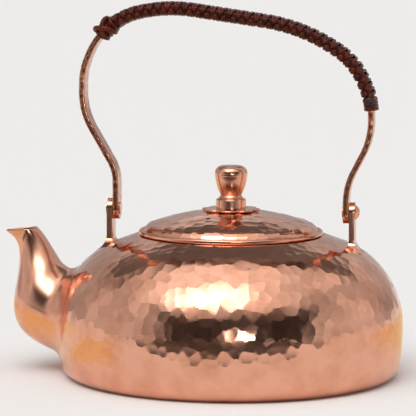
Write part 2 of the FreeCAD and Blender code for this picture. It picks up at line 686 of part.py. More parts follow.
def make_rosette():
    """The petalled washer under the knob."""
    body = make_body("rosette")
    disc = circle(make_sketch(body, "rosette_round", "XY_Plane"), "0", "0", "rosette_disc")
    petal = circle(make_sketch(body, "rosette_petal", "XY_Plane"),
                   "petal_place", "0", "petal_radius")
    hole = circle(make_sketch(body, "rosette_hole", "XY_Plane"), "0", "0", "stud_radius")
    for sketch in (disc, petal):
        pad = body.newObject("PartDesign::Pad", f"{sketch.Name}_pad")
        pad.Profile = sketch
        bind(pad, "Length", "rosette_thick")
    pattern = body.newObject("PartDesign::PolarPattern", "rosette_petals")
    pattern.Originals = [doc.rosette_petal_pad]
    pattern.Axis = (petal, ["N_Axis"])
    pattern.Angle = 360
    bind(pattern, "Occurrences", "petal_count")
    body.Tip = pattern
    pierced(body, hole)
    bind(body, "Placement.Base.z", DOME_TOP)


def make_knob():
    """The turned knob: a stepped base, a ringed neck and a pear-shaped grip."""
    ring = "(knob_neck_radius + knob_ring_proud)"
    body = turned("knob", [
        ("stud_radius", "0"),
        ("knob_base_radius", "0"),
        ("knob_base_radius", "knob_base_height - knob_step"),
        ("knob_base_radius - knob_step", "knob_base_height"),
        (ring, "knob_base_height"),
        (ring, "knob_base_height + knob_ring_height", "knob_ring_round", 1),
        ("knob_neck_radius", "knob_neck_rise"),
        ("knob_radius", "knob_belly_rise", "knob_sweep_round", 1),
        ("knob_radius * knob_crown_share", "knob_height", "knob_crown_round", 1),
        ("0", "knob_height"),
        ("0", "stud_bite"),
        ("stud_radius", "stud_bite"),
    ])
    bind(body, "Placement.Base.z", KNOB_Z)


def make_knob_fixings():
    """The stud, backing washer and nut that hold the knob and the rosette to the dome."""
    turned("knob_stud", [
        ("stud_radius", STUD_END),
        ("stud_radius", f"{KNOB_Z} + stud_bite"),
        ("0", f"{KNOB_Z} + stud_bite"),
        ("0", STUD_END),
    ])
    turned("knob_washer", [
        ("stud_radius", NUT_TOP),
        ("washer_radius", NUT_TOP),
        ("washer_radius", WASHER_TOP),
        ("stud_radius", WASHER_TOP),
    ])
    body = make_body("knob_nut")
    sketch = make_sketch(body, "nut_outline", "XY_Plane")
    corner = "(nut_flats / (2 * cos(30)))"
    outline(sketch, [(f"{corner} * cos({60 * side})", f"{corner} * sin({60 * side})")
                     for side in range(6)])
    circle(sketch, "0", "0", "stud_radius")
    pad = body.newObject("PartDesign::Pad", "nut_pad")
    pad.Profile = sketch
    bind(pad, "Length", "nut_height")
    bind(body, "Placement.Base.z", f"{NUT_TOP} - nut_height")


def build():
    envelope = make_envelope()
    vessel = make_vessel()
    bore = make_spout_solid("spout_bore", value("spout_wall"), BORE_OVERRUN)
    spout_outside = make_spout_solid("spout_outside", 0, 0)
    cut("body_shell", vessel, bore)
    cut("spout", cut("spout_tube", spout_outside, bore), envelope)
    make_mouth_ring()
    make_ear(envelope)
    make_pin("pin_far", 1, "dome_head_radius", "dome_head_height", True)
    make_pin("pin_spout_side", -1, "flat_head_radius", "flat_head_height", False)
    path = make_bail_bar()
    doc.recompute()
    make_wrap(path)
    make_lid_dome()
    make_lid_rim()
    make_lid_skirt()
    make_rosette()
    make_knob()
    make_knob_fixings()
    doc.recompute()


PARTS = [
    "body_shell", "mouth_ring", "spout", "ear_far", "ear_spout_side",
    "pin_far", "pin_spout_side", "bail_bar", "cord_wrap", "wrap_knot", "wrap_collar",
    "lid_dome", "lid_rim", "lid_skirt", "rosette", "knob", "knob_stud", "knob_washer", "knob_nut",
]


def write_parts():
    """Checks every object and every sub-part's shape, then writes the sub-parts."""
    for item in doc.Objects:
        bad = [state for state in item.State if state in ("Invalid", "Error")]
        if bad:
            raise RuntimeError(f"{item.Label} is {bad}")
    shapes = {}
    for label in PARTS:
        shape = doc.getObjectsByLabel(label)[0].Shape
        if shape.isNull() or not shape.isValid() or not shape.Solids:
            raise RuntimeError(f"{label} has no valid solid")
        shapes[label] = shape
    os.makedirs("parts", exist_ok=True)
    for label, shape in shapes.items():
        shape.exportStep(f"parts/{label}.step")
        print(f"{label:16} {len(shape.Solids)} solid  {shape.Volume:10.1f} mm3")


build()
write_parts()
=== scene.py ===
"""Copper kettle: hammered vessel and lid, raised spout and a bail bound with plaited cord.

Everything is in metres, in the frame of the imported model.  +Z is up, the spout points along -X
and the bail stands in the XZ plane.
"""

import math
import random

import bmesh
import bpy
import numpy as np
from mathutils import Matrix, Vector, kdtree, noise


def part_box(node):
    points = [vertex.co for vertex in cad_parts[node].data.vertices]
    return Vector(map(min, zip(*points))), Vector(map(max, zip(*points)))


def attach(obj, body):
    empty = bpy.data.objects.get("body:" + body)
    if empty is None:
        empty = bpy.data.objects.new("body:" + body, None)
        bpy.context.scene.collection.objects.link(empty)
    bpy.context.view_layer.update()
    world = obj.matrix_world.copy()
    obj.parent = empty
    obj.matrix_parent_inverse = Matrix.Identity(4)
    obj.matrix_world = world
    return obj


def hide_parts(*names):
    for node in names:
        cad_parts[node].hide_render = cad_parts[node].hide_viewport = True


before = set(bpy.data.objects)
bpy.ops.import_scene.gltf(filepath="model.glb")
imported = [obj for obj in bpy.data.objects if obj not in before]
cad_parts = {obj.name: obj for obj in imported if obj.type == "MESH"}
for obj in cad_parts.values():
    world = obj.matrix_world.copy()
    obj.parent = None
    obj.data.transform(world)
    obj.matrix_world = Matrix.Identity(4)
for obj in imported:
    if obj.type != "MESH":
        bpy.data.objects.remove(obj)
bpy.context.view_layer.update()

bl_info = {
    "name": "Copper kettle",
    "version": (1, 0, 0),
    "blender": (4, 5, 0),
    "location": "View3D > Sidebar > Kettle",
    "description": "Builds the looks of a hammered copper kettle round its packed model",
    "category": "Add Mesh",
}

MM = 0.001
TAU = 2 * math.pi
# A vertex is drawn onto a ridge from within this share of the distance between marks.
RIDGE_SNAP = 0.09
# Faces that meet at more than this keep a crisp ridge between them.
RIDGE_ANGLE = math.radians(3.0)
# A hammer blow strays from its even place by up to this share of the distance between marks.
STRAY = 0.16
# Marks near a vertex that are looked at to find the deepest two.
NEAR_MARKS = 7
BODY_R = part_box("body_shell")[1].x
SEAT_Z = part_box("body_shell")[1].z
LID_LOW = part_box("lid_rim")[0].z
PIVOT_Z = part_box("pin_far")[1].z / 2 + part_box("pin_far")[0].z / 2
DOME_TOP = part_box("rosette")[0].z


# ---------------------------------------------------------------- sizes and colours

def length(name, amount, about):
    """A length that a user would change, given in millimetres."""
    return bpy.props.FloatProperty(name=name, description=about, default=amount * MM,
                                   min=0.0, precision=5, unit="LENGTH")


def colour(name, code, about):
    return bpy.props.StringProperty(name=name, description=about, default=code)


class KettleShape(bpy.types.PropertyGroup):
    """Sizes of the beaten surfaces, the spout's root and the plaited cord."""
    facet: length("Facet", 5.3, "Distance between neighbouring hammer marks")
    dish: length("Dish", 0.06, "Depth of a hammer mark below its ridges")
    uneven: length("Unevenness", 0.018, "How much one mark is deeper than the next")
    lean: bpy.props.FloatProperty(name="Lean", description="Slope by which a hammer mark may lean",
                                  default=0.044, min=0.0, max=0.2)
    grain: length("Mesh grain", 1.0, "Spacing of the mesh on the hammered vessel")
    wall: length("Wall", 1.2, "Thickness of the raised copper")
    lid_wall: length("Lid wall", 1.0, "Thickness of the lid's dome")
    root_low: length("Root sweep, ends", 5.0, "Radius of the spout's root above and below")
    root_side: length("Root sweep, sides", 9.0, "Radius of the spout's root at the sides")
    cord: length("Cord", 2.15, "Thickness of the plaited cord")
    weave: length("Weave", 4.9, "Distance between neighbouring loops of the plait")


class KettleFinish(bpy.types.PropertyGroup):
    """Colours of the finishes, as sRGB hex codes."""
    copper: colour("Copper", "#EBAC90", "Clean polished copper")
    copper_deep: colour("Deep copper", "#DA9677", "Copper where it has begun to tone")
    cord: colour("Cord", "#6E2610", "Waxed cord on its crowns")
    cord_deep: colour("Deep cord", "#240703", "Waxed cord in its hollows")
    brass: colour("Brass", "#D9B36A", "Turned brass")
    floor: colour("Floor", "#F4F2F0", "Studio floor")


class KettleStudio(bpy.types.PropertyGroup):
    """The camera and the light."""
    lens: bpy.props.FloatProperty(name="Lens", description="Focal length in millimetres",
                                  default=219.1, min=1.0)
    world: bpy.props.FloatProperty(name="Surround", description="Strength of the even surround",
                                   default=0.43, min=0.0)
    backdrop: bpy.props.FloatProperty(name="Backdrop", description="Strength of the backdrop",
                                      default=0.95, min=0.0)


def shape():
    return bpy.context.scene.kettle_shape


def finish_of():
    return bpy.context.scene.kettle_finish


# ---------------------------------------------------------------- materials

def linear(code):
    """An sRGB hex code as linear red, green, blue and alpha."""
    channels = [int(code[place:place + 2], 16) / 255 for place in (1, 3, 5)]
    return [c / 12.92 if c <= 0.04045 else ((c + 0.055) / 1.055) ** 2.4 for c in channels] + [1.0]


def feed(tree, node, inputs):
    """Fills a node's inputs with values or links."""
    for name, amount in inputs.items():
        if isinstance(amount, bpy.types.NodeSocket):
            tree.links.new(amount, node.inputs[name])
        else:
            node.inputs[name].default_value = amount


def add(tree, kind, inputs, stops=(), **settings):
    """Adds a node with its inputs, its settings and, for a ramp, two stops of (place, hex code)."""
    node = tree.nodes.new(kind)
    for name, amount in settings.items():
        setattr(node, name, amount)
    feed(tree, node, inputs)
    if stops:
        for element, (place, code) in zip(node.color_ramp.elements, stops):
            element.position = place
            element.color = linear(code)
    return node


def new_material(name):
    material = bpy.data.materials.new(name)
    material.use_nodes = True
    tree = material.node_tree
    return material, tree, tree.nodes["Principled BSDF"]


def copper(name, gloss, mottle, scratch, tones=None):
    """Copper: warm pink metal whose colour shifts a little where it has begun to tone.

    gloss is the roughness of the cleanest metal, mottle the size of the toned patches and
    scratch the depth of the fine polishing marks; tones are its deepest and cleanest colours.
    """
    deep, clean = tones or (finish_of().copper_deep, finish_of().copper)
    material, tree, shader = new_material(name)
    place = add(tree, "ShaderNodeTexCoord", {}).outputs["Object"]
    patches = add(tree, "ShaderNodeTexNoise",
                  {"Vector": place, "Scale": 1 / mottle, "Detail": 4.0, "Roughness": 0.6})
    tone = add(tree, "ShaderNodeValToRGB", {"Fac": patches.outputs["Fac"]},
               [(0.25, deep), (0.55, clean)])
    haze = add(tree, "ShaderNodeMapRange",
               {"Value": patches.outputs["Fac"], "From Min": 0.3, "From Max": 0.7,
                "To Min": gloss + 0.07, "To Max": gloss})
    # Polishing marks are a few hundredths of a millimetre wide; drawn at half a millimetre to show.
    marks = add(tree, "ShaderNodeTexNoise",
                {"Vector": place, "Scale": 1 / (0.5 * MM), "Detail": 2.0})
    bump = add(tree, "ShaderNodeBump",
               {"Height": marks.outputs["Fac"], "Strength": 0.25, "Distance": scratch})
    feed(tree, shader, {"Base Color": tone.outputs["Color"], "Metallic": 1.0,
                        "Roughness": haze.outputs["Result"], "Normal": bump.outputs["Normal"]})
    return material


def hammered_copper():
    """Copper planished by hand and then polished: every mark is a small dished mirror."""
    return copper("Copper, hand planished and polished", 0.10, 18 * MM, 0.012 * MM)


def smooth_copper():
    """Copper raised and buffed smooth, as on the spout, knob, rosette and rim."""
    return copper("Copper, buffed smooth", 0.17, 14 * MM, 0.006 * MM)


def forged_copper():
    """Copper bar forged flat and left from the hammer: browned, with fine marks in its faces."""
    return copper("Copper bar, forged", 0.17, 3 * MM, 0.05 * MM, ("#8A5237", "#D9977A"))


def inner_copper():
    """Copper inside the vessel, which heat and water have dulled."""
    return copper("Copper, dulled by water", 0.38, 22 * MM, 0.01 * MM)


def grained(name, size, shades, depth, roughness):
    """A material whose colour and surface vary together in grains of one size."""
    material, tree, shader = new_material(name)
    place = add(tree, "ShaderNodeTexCoord", {}).outputs["Object"]
    grains = add(tree, "ShaderNodeTexNoise", {"Vector": place, "Scale": 1 / size})
    shade = add(tree, "ShaderNodeValToRGB", {"Fac": grains.outputs["Fac"]},
                list(zip((0.3, 0.7), shades)))
    feed(tree, shader, {"Base Color": shade.outputs["Color"], "Roughness": roughness})
    if depth:
        strength, distance = depth
        bump = add(tree, "ShaderNodeBump",
                   {"Height": grains.outputs["Fac"], "Strength": strength, "Distance": distance})
        feed(tree, shader, {"Normal": bump.outputs["Normal"]})
    return material, shader


def brass():
    """Turned brass: yellow metal with fine rings left by the tool."""
    material, shader = grained("Brass, turned", 0.6 * MM, ("#C79C52", finish_of().brass),
                               (0.2, 0.01 * MM), 0.28)
    shader.inputs["Metallic"].default_value = 1.0
    return material


def waxed_cord():
    """Waxed twisted cord: dark fibres with a soft shine on the crowns and fine twist lines."""
    finish = finish_of()
    material, tree, shader = new_material("Cotton cord, twisted and waxed")
    place = add(tree, "ShaderNodeTexCoord", {}).outputs["Object"]
    patches = add(tree, "ShaderNodeTexNoise",
                  {"Vector": place, "Scale": 1 / (4 * MM), "Detail": 5.0, "Roughness": 0.7})
    shade = add(tree, "ShaderNodeValToRGB", {"Fac": patches.outputs["Fac"]},
                [(0.32, finish.cord_deep), (0.68, finish.cord)])
    # The twist repeats every 1.2 mm along the cord; u runs round the cord and v along it.
    unwrapped = add(tree, "ShaderNodeUVMap", {}, uv_map="cord")
    lines = add(tree, "ShaderNodeTexWave",
                {"Vector": unwrapped.outputs["UV"], "Scale": 1.0, "Distortion": 0.6},
                wave_type="BANDS", bands_direction="DIAGONAL", wave_profile="SIN")
    fibres = add(tree, "ShaderNodeTexNoise", {"Vector": place, "Scale": 1 / (0.35 * MM)})
    both = add(tree, "ShaderNodeMath", {0: lines.outputs["Fac"], 1: fibres.outputs["Fac"]},
               operation="ADD")
    bump = add(tree, "ShaderNodeBump",
               {"Height": both.outputs["Value"], "Strength": 0.45, "Distance": 0.12 * MM})
    rough = add(tree, "ShaderNodeMapRange",
                {"Value": patches.outputs["Fac"], "To Min": 0.5, "To Max": 0.26})
    feed(tree, shader, {"Base Color": shade.outputs["Color"], "Specular IOR Level": 0.25,
                        "Roughness": rough.outputs["Result"], "Normal": bump.outputs["Normal"]})
    return material


def dark_bead_material():
    """The cord's end: a small bead of near-black, glossy material."""
    return grained("Cord end, dark glossy bead", 1.5 * MM, ("#120C0B", "#3A302E"),
                   (0.4, 0.1 * MM), 0.3)[0]


MAKERS = {"hammered": hammered_copper, "smooth": smooth_copper, "forged": forged_copper,
          "inner": inner_copper, "brass": brass, "cord": waxed_cord, "dark_bead": dark_bead_material}
made = {}


def finish(name):
    """The material of this name, made the first time that it is asked for."""
    if name not in made:
        made[name] = MAKERS[name]()
    return made[name]


# ---------------------------------------------------------------- mesh helpers

def link_object(bm, name, *materials):
    """Turns a bmesh into an object of the scene."""
    mesh = bpy.data.meshes.new(name)
    bm.to_mesh(mesh)
    bm.free()
    piece = bpy.data.objects.new(name, mesh)
    bpy.context.scene.collection.objects.link(piece)
    for material in materials:
        mesh.materials.append(material)
    return piece


def place_piece(bm, name, body, material, nodes=()):
    """A smooth piece that rides on a body and stands for its CAD nodes."""
    piece = link_object(bm, name, finish(material))
    piece.data.shade_smooth()
    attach(piece, body)
    if nodes:
        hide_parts(*nodes)
    return piece


def walk(steps, spacing):
    """Points along an outline in the XZ plane, about one spacing apart.

    A step is (r, z) for a straight run or (r, z, radius, turn) for an arc, where turn is 1 for
    counter-clockwise and -1 for clockwise.
    """
    points = [Vector((steps[0][0], 0, steps[0][1]))]
    for step in steps[1:]:
        start = points[-1].copy()
        end = Vector((step[0], 0, step[1]))
        chord = end - start
        if len(step) == 2:
            count = max(1, round(chord.length / spacing))
            points += [start + chord * (index + 1) / count for index in range(count)]
            continue
        radius, turn = step[2:]
        side = Vector((-chord.z, 0, chord.x)).normalized()
        rise = math.sqrt(max(radius ** 2 - chord.length ** 2 / 4, 0))
        centre = (start + end) / 2 + side * turn * rise
        sweep = 2 * math.asin(min(1, chord.length / 2 / radius)) * -turn
        count = max(2, round(abs(sweep) * radius / spacing))
        arm = start - centre
        points += [centre + Matrix.Rotation(sweep * (index + 1) / count, 3, "Y") @ arm
                   for index in range(count)]
    return points


def spun(points, steps, closed=True):
    """A bmesh turned about Z from a row of points in the XZ plane."""
    bm = bmesh.new()
    row = [bm.verts.new(point) for point in points]
    pairs = zip(row, row[1:] + row[:1]) if closed else zip(row, row[1:])
    edges = [bm.edges.new(pair) for pair in pairs]
    bmesh.ops.spin(bm, geom=row + edges, cent=(0, 0, 0), axis=(0, 0, 1), angle=TAU,
                   steps=steps, use_merge=True)
    bmesh.ops.remove_doubles(bm, verts=bm.verts, dist=1e-6)
    bmesh.ops.recalc_face_normals(bm, faces=bm.faces)
    return bm


def strikes_round(points, pitch, seed):
    """Where the hammer struck: staggered rings of marks along a turned outline."""
    draw = random.Random(seed)
    places = []
    run = 0.0
    gap = pitch * math.sqrt(0.75)
    row = 0
    for before, here in zip(points, points[1:]):
        run += (here - before).length
        if run < gap:
            continue
        run -= gap
        row += 1
        count = max(5, round(TAU * here.x / pitch))
        for index in range(count):
            angle = TAU * (index + row % 2 / 2 + draw.uniform(-STRAY, STRAY)) / count
            lift = (before - here).normalized() * draw.uniform(-STRAY, STRAY) * pitch
            radius = here.x + lift.x
            places.append((radius * math.cos(angle), radius * math.sin(angle), here.z + lift.z))
    return places


def planish(verts, places, pitch, blow, seed, fade=None):
    """Sinks vertices into dished hammer marks and draws those near a ridge onto it.

    blow is the depth of a mark, how much that varies and how far, as a slope, each mark leans
    from the surface as it was before.
    """
    dish, uneven, lean = blow
    draw = random.Random(seed)
    marks = []
    tree = kdtree.KDTree(len(places))
    for index, place in enumerate(places):
        slope = Vector([draw.uniform(-1, 1) for _ in range(3)]) * lean
        marks.append((Vector(place), draw.uniform(-1, 1) * uneven, slope))
        tree.insert(place, index)
    tree.balance()
    curve = dish / (pitch / 2) ** 2
    moves = []
    for vert in verts:
        near = []
        for _, index, distance in tree.find_n(vert.co, NEAR_MARKS):
            mark, depth, slope = marks[index]
            away = vert.co - mark
            near.append((curve * distance ** 2 + depth + slope.dot(away), index))
        near.sort()
        (low, index), (next_low, next_index) = near[:2]
        mark, _, slope = marks[index]
        next_mark, _, next_slope = marks[next_index]
        growth = 2 * curve * (mark - next_mark) + next_slope - slope
        slide = Vector()
        if next_low - low < RIDGE_SNAP * pitch * growth.length:
            slide = growth * ((low - next_low) / growth.length_squared)
            slide -= vert.normal * slide.dot(vert.normal)
            low = (low + next_low) / 2
        share = fade(vert.co) if fade else 1.0
        moves.append((slide + vert.normal * (low - dish)) * share)
    for vert, move in zip(verts, moves):
        vert.co += move


def carve(piece, cutter_bm):
    """Cuts a closed bmesh out of a piece."""
    cutter = link_object(cutter_bm, "cutter")
    cutter_mesh = cutter.data
    change = piece.modifiers.new("cut", "BOOLEAN")
    change.object = cutter
    change.operation = "DIFFERENCE"
    change.solver = "EXACT"
    graph = bpy.context.evaluated_depsgraph_get()
    result = bpy.data.meshes.new_from_object(piece.evaluated_get(graph))
    piece.modifiers.remove(change)
    old = piece.data
    piece.data = result
    result.name = piece.name
    bpy.data.meshes.remove(old)
    bpy.data.objects.remove(cutter)
    bpy.data.meshes.remove(cutter_mesh)


def rod(radius, low, high, x=0.0, y=0.0, segments=32):
    """A plain closed rod along Z, used to drill holes."""
    bm = bmesh.new()
    place = Matrix.Translation((x, y, (low + high) / 2))
    bmesh.ops.create_cone(bm, cap_ends=True, segments=segments, radius1=radius, radius2=radius,
                          depth=high - low, matrix=place)
    return bm


# ---------------------------------------------------------------- vessel

BELLY_Z = 29 * MM
BELLY_ROUND = 47.5 * MM
SLOPE = math.radians(20)
WALL_ROUND = 190 * MM
FOOT_ROUND = 8.5 * MM
SEAT_R = 52 * MM
MOUTH_R = 46.5 * MM
UPPER_R = BODY_R - BELLY_ROUND
WALL_R = BODY_R - WALL_ROUND
FOOT_R = WALL_R + math.sqrt((WALL_ROUND - FOOT_ROUND) ** 2 - (BELLY_Z - FOOT_ROUND) ** 2)
VESSEL_STEPS = 600
# A face is an outer one if it points away from the base's middle, with height counted by this.
UPWARD_SHARE = 0.6
# The hammer marks grow from this share of their depth at the base to all of it over these heights,
# and above the shoulder they start over these distances from the axis.
BASE_LEFT = 0.25
BASE_FADE = (6 * MM, 20 * MM)
SHOULDER_LOW = 70 * MM
SEAT_FADE = (50.5 * MM, 53 * MM)


def vessel_outline(inward):
    """The vessel's section from seat to base, set inward of the outer face by a thickness."""
    belly = BELLY_ROUND - inward
    foot = FOOT_ROUND - inward
    shoulder = (UPPER_R + belly * math.sin(SLOPE), BELLY_Z + belly * math.cos(SLOPE))
    lean = math.atan2(BELLY_Z - FOOT_ROUND, FOOT_R - WALL_R)
    return [
        (SEAT_R - inward * math.tan(SLOPE / 2), SEAT_Z - inward),
        shoulder,
        (BODY_R - inward, BELLY_Z, belly, -1),
        (FOOT_R + foot * math.cos(lean), FOOT_ROUND - foot * math.sin(lean),
         WALL_ROUND - inward, -1),
        (FOOT_R, inward, foot, -1),
    ]


def body_gap(point):
    """How far a point lies outside the vessel's belly or lower wall, and the way out."""
    reach = math.hypot(point.x, point.y)
    centre_r, radius = (UPPER_R, BELLY_ROUND) if point.z > BELLY_Z else (WALL_R, WALL_ROUND)
    across, up = reach - centre_r, point.z - BELLY_Z
    away = math.hypot(across, up)
    out = Vector((point.x / reach * across, point.y / reach * across, up)) / away
    return away - radius, out


def vessel_bmesh():
    """The vessel as one closed wall, and its outer outline."""
    size = shape()
    outer = walk([(MOUTH_R, SEAT_Z)] + vessel_outline(0.0), size.grain)
    inner = walk([(MOUTH_R, SEAT_Z - size.wall)] + vessel_outline(size.wall), 5 * MM)
    base = walk([(0.0, 0.0), (FOOT_R, 0.0)], 9 * MM)[:-1]
    base_inside = walk([(FOOT_R, size.wall), (0.0, size.wall)], 12 * MM)[1:]
    bm = spun(base + outer[::-1] + inner + base_inside, VESSEL_STEPS, closed=False)
    return bm, outer


def on_outer_face(vert):
    """True where a vertex faces away from the inside of the vessel."""
    return vert.normal.dot(Vector((*vert.co.xy, vert.co.z * UPWARD_SHARE))) > 0


def rise(value, start, end):
    """0 up to start and 1 from end, with a straight slope between them."""
    return min(1.0, max(0.0, (value - start) / (end - start)))


def smooth_near_base(point):
    """Hammer marks are planished out towards the base and end at the seat."""
    low = rise(point.z, *BASE_FADE)
    seat = rise(math.hypot(point.x, point.y), *SEAT_FADE) if point.z > SHOULDER_LOW else 1.0
    return (BASE_LEFT + (1 - BASE_LEFT) * low) * seat


class KETTLE_OT_vessel(bpy.types.Operator):
    """Make the hammered vessel with the port for its spout"""
    bl_idname = "kettle.vessel"
    bl_label = "Vessel"

    def execute(self, context):
        size = shape()
        bm, outer = vessel_bmesh()
        bm.normal_update()
        skin = [vert for vert in bm.verts if vert.co.z > 0.01 * MM and on_outer_face(vert)]
        places = strikes_round(outer, size.facet, 11)
        planish(skin, places, size.facet, (size.dish, size.uneven, size.lean), 12,
                smooth_near_base)
        piece = place_piece(bm, "hammered_vessel", "kettle",
                            "hammered", ["body_shell"])
        carve(piece, spout_space(size.wall, 2 * MM))
        piece.data.shade_smooth()
        piece.data.set_sharp_from_angle(angle=RIDGE_ANGLE)
        return {"FINISHED"}


# ---------------------------------------------------------------- spout

# The spout's stations from root to mouth: reach of the centre beyond the vessel's widest radius,
# its height, the section's lean from level in degrees, half size along the lean, half size
# along Y, and how far its outer side comes to a point.
STATIONS = [
    (-13.0, 31.5, 87, 28.0, 36.0, 0.0),
    (-2.8, 32.9, 82, 23.6, 26.5, 0.0),
    (9.8, 39.4, 63, 22.1, 22.0, 0.0),
    (14.6, 49.1, 48, 18.2, 18.0, 0.0),
    (14.8, 61.1, 33, 11.5, 11.5, 0.0),
    (17.4, 72.6, 17, 7.8, 7.4, 0.1),
    (22.9, 78.4, 8, 8.8, 6.6, 0.45),
]
LAST_STATION = len(STATIONS) - 1
SPOUT_ROWS = 90
SPOUT_COLUMNS = 96
SPOUT_ANGLES = [TAU * index / SPOUT_COLUMNS for index in range(SPOUT_COLUMNS)]
# Rows lie closer together near the root, where the spout is swept out.
ROW_CROWDING = 1.6
# The raised metal is uneven by this much over this distance.
RIPPLE = 0.05 * MM
RIPPLE_SIZE = 9 * MM


def natural_spline(rows):
    """A smooth curve through rows of numbers: a function of the place from 0 to the last row."""
    rows = np.array(rows, dtype=float)
    count = len(rows)
    system = np.eye(count)
    right = np.zeros_like(rows)
    for index in range(1, count - 1):
        system[index, index - 1:index + 2] = (1, 4, 1)
        right[index] = 6 * (rows[index - 1] - 2 * rows[index] + rows[index + 1])
    bend = np.linalg.solve(system, right)

    def at(place):
        index = int(min(max(place, 0), count - 1 - 1e-9))
        b = place - index
        a = 1 - b
        return (a * rows[index] + b * rows[index + 1]
                + ((a ** 3 - a) * bend[index] + (b ** 3 - b) * bend[index + 1]) / 6)

    return at


def spout_point(curve, place, angle, inward):
    """A point on the spout: place runs from 0 at the root to the last station at the mouth."""
    reach, rise, lean, deep, wide, point = curve(place)
    lean = math.radians(lean)
    up = Vector((math.cos(lean), 0, math.sin(lean)))
    across = (wide * MM - inward) * math.sin(angle) * (1 + point * math.cos(angle))
    return (Vector((-BODY_R - reach * MM, 0, rise * MM))
            + up * (deep * MM - inward) * math.cos(angle) + Vector((0, across, 0)))


def spout_space(inward, beyond):
    """The spout's space, closed, from deep in the vessel to a length beyond its mouth."""
    curve = natural_spline(STATIONS)

    def ring_at(share):
        return [spout_point(curve, LAST_STATION * share, angle, inward) for angle in SPOUT_ANGLES]

    bm, first, last = tube(SPOUT_COLUMNS, SPOUT_ROWS, ring_at)
    lean = math.radians(STATIONS[-1][2])
    last = next_ring(bm, last, Vector((-math.sin(lean), 0, math.cos(lean))) * beyond)
    close_ends(bm, first, last)
    return bm


def next_ring(bm, ring, shift=Vector()):
    """Extrudes a ring of vertices once and returns the new ring in the same order."""
    members = set(ring)
    edges = {edge for vert in ring for edge in vert.link_edges
             if edge.other_vert(vert) in members and not edge.is_manifold}
    grown = bmesh.ops.extrude_edge_only(bm, edges=list(edges))["geom"]
    fresh = {item for item in grown if isinstance(item, bmesh.types.BMVert)}
    following = []
    for vert in ring:
        partner = next(edge.other_vert(vert) for edge in vert.link_edges
                       if edge.other_vert(vert) in fresh)
        partner.co = vert.co + shift
        following.append(partner)
    return following


def tube(columns, rows, ring_at):
    """A tube of rings grown one after another; ring_at(share) gives the places of one ring."""
    bm = bmesh.new()
    bmesh.ops.create_circle(bm, cap_ends=False, segments=columns, radius=1)
    ring = first = list(bm.verts)
    for row in range(rows + 1):
        if row:
            ring = next_ring(bm, ring)
        for vert, place in zip(ring, ring_at(row / rows)):
            vert.co = place
    return bm, first, ring


def close_ends(bm, *rings):
    """Closes a tube at its end rings."""
    for ring in rings:
        bmesh.ops.contextual_create(bm, geom=ring)
    bmesh.ops.recalc_face_normals(bm, faces=bm.faces)


def root_row(curve, angle):
    """Where the spout's outer face, at this angle round it, meets the vessel."""
    low, high = 0.0, 3.0
    for _ in range(40):
        middle = (low + high) / 2
        if body_gap(spout_point(curve, middle, angle, 0.0))[0] > 0:
            high = middle
        else:
            low = middle
    return high


def swept_root(curve, place, angle, sweep):
    """A point of the spout, led out along the vessel where it comes near to it."""
    point = spout_point(curve, place, angle, 0.0)
    gap, out = body_gap(point)
    if gap >= sweep:
        return point
    ahead = spout_point(curve, place, angle + 0.02, 0.0) - point
    along = spout_point(curve, place + 0.02, angle, 0.0) - point
    side = ahead.cross(along)
    side = (side - out * side.dot(out)).normalized()
    if side.dot(point - spout_point(curve, place, angle + math.pi, 0.0)) < 0:
        side = -side
    drop = max(gap, 0.0)
    moved = point + side * (sweep - math.sqrt(max(sweep ** 2 - (sweep - drop) ** 2, 0.0)))
    new_gap, new_out = body_gap(moved)
    return moved + new_out * (gap - new_gap)


class KETTLE_OT_spout(bpy.types.Operator):
    """Make the raised spout, swept out at its root to lie against the vessel"""
    bl_idname = "kettle.spout"
    bl_label = "Spout"

    def execute(self, context):
        size = shape()
        curve = natural_spline(STATIONS)
        columns = []
        for angle in SPOUT_ANGLES:
            side = math.sin(angle) ** 2
            sweep = size.root_low + (size.root_side - size.root_low) * side
            columns.append((angle, root_row(curve, angle), sweep))

        def ring_at(share):
            share = share ** ROW_CROWDING
            return [swept_root(curve, root + (LAST_STATION - root) * share, angle, sweep)
                    for angle, root, sweep in columns]

        bm = tube(SPOUT_COLUMNS, SPOUT_ROWS, ring_at)[0]
        for vert in bm.verts:
            vert.co += noise.noise_vector(vert.co / RIPPLE_SIZE) * RIPPLE
        bmesh.ops.recalc_face_normals(bm, faces=bm.faces)
        outer = list(bm.faces)
        middle = sum((face.calc_center_median() for face in outer), Vector()) / len(outer)
        if sum(face.normal.dot(face.calc_center_median() - middle) for face in outer) < 0:
            bmesh.ops.reverse_faces(bm, faces=outer)
        piece = place_piece(bm, "smooth_spout", "kettle", "smooth", ["spout"])
        wall = piece.modifiers.new("wall", "SOLIDIFY")
        wall.thickness = size.wall
        wall.offset = -1
        wall.use_even_offset = False
        return {"FINISHED"}


# ---------------------------------------------------------------- bail

BAR_THICK = 3.2 * MM
BAR_WIDE = 12.0 * MM
# How much of its width is left at the very tip of the bar's rounded end.
END_LEFT = 0.05
PIN_R = 2 * MM
# The bar's hammer marks: distance along it between rows, size, and blow as depth, unevenness, lean.
BAR_ROW = 3.6 * MM
BAR_MARK = 3.8 * MM
BAR_BLOW = (0.07 * MM, 0.03 * MM, 0.02)
BAR_PLAIN_END = 7 * MM
# Round the eyes this share of the marks is left, and it grows to all over these distances.
EYE_LEFT = 0.1
EYE_FADE = (9 * MM, 15 * MM)
LEG_X = 63.7 * MM
# The bail's corners: distance from the axis, height above the pivot and radius of the bend.
CORNERS = [
    (-63.7, 21.0, 22.0), (-82.5, 53.5, 39.5), (-82.5, 76.5, 39.5), (-70.0, 105.0, 39.5),
    (-34.0, 111.5, 80.0), (39.0, 101.0, 96.0), (67.5, 82.5, 39.5), (77.0, 62.0, 39.5),
    (77.0, 40.5, 39.5), (63.7, 14.5, 36.0),
]


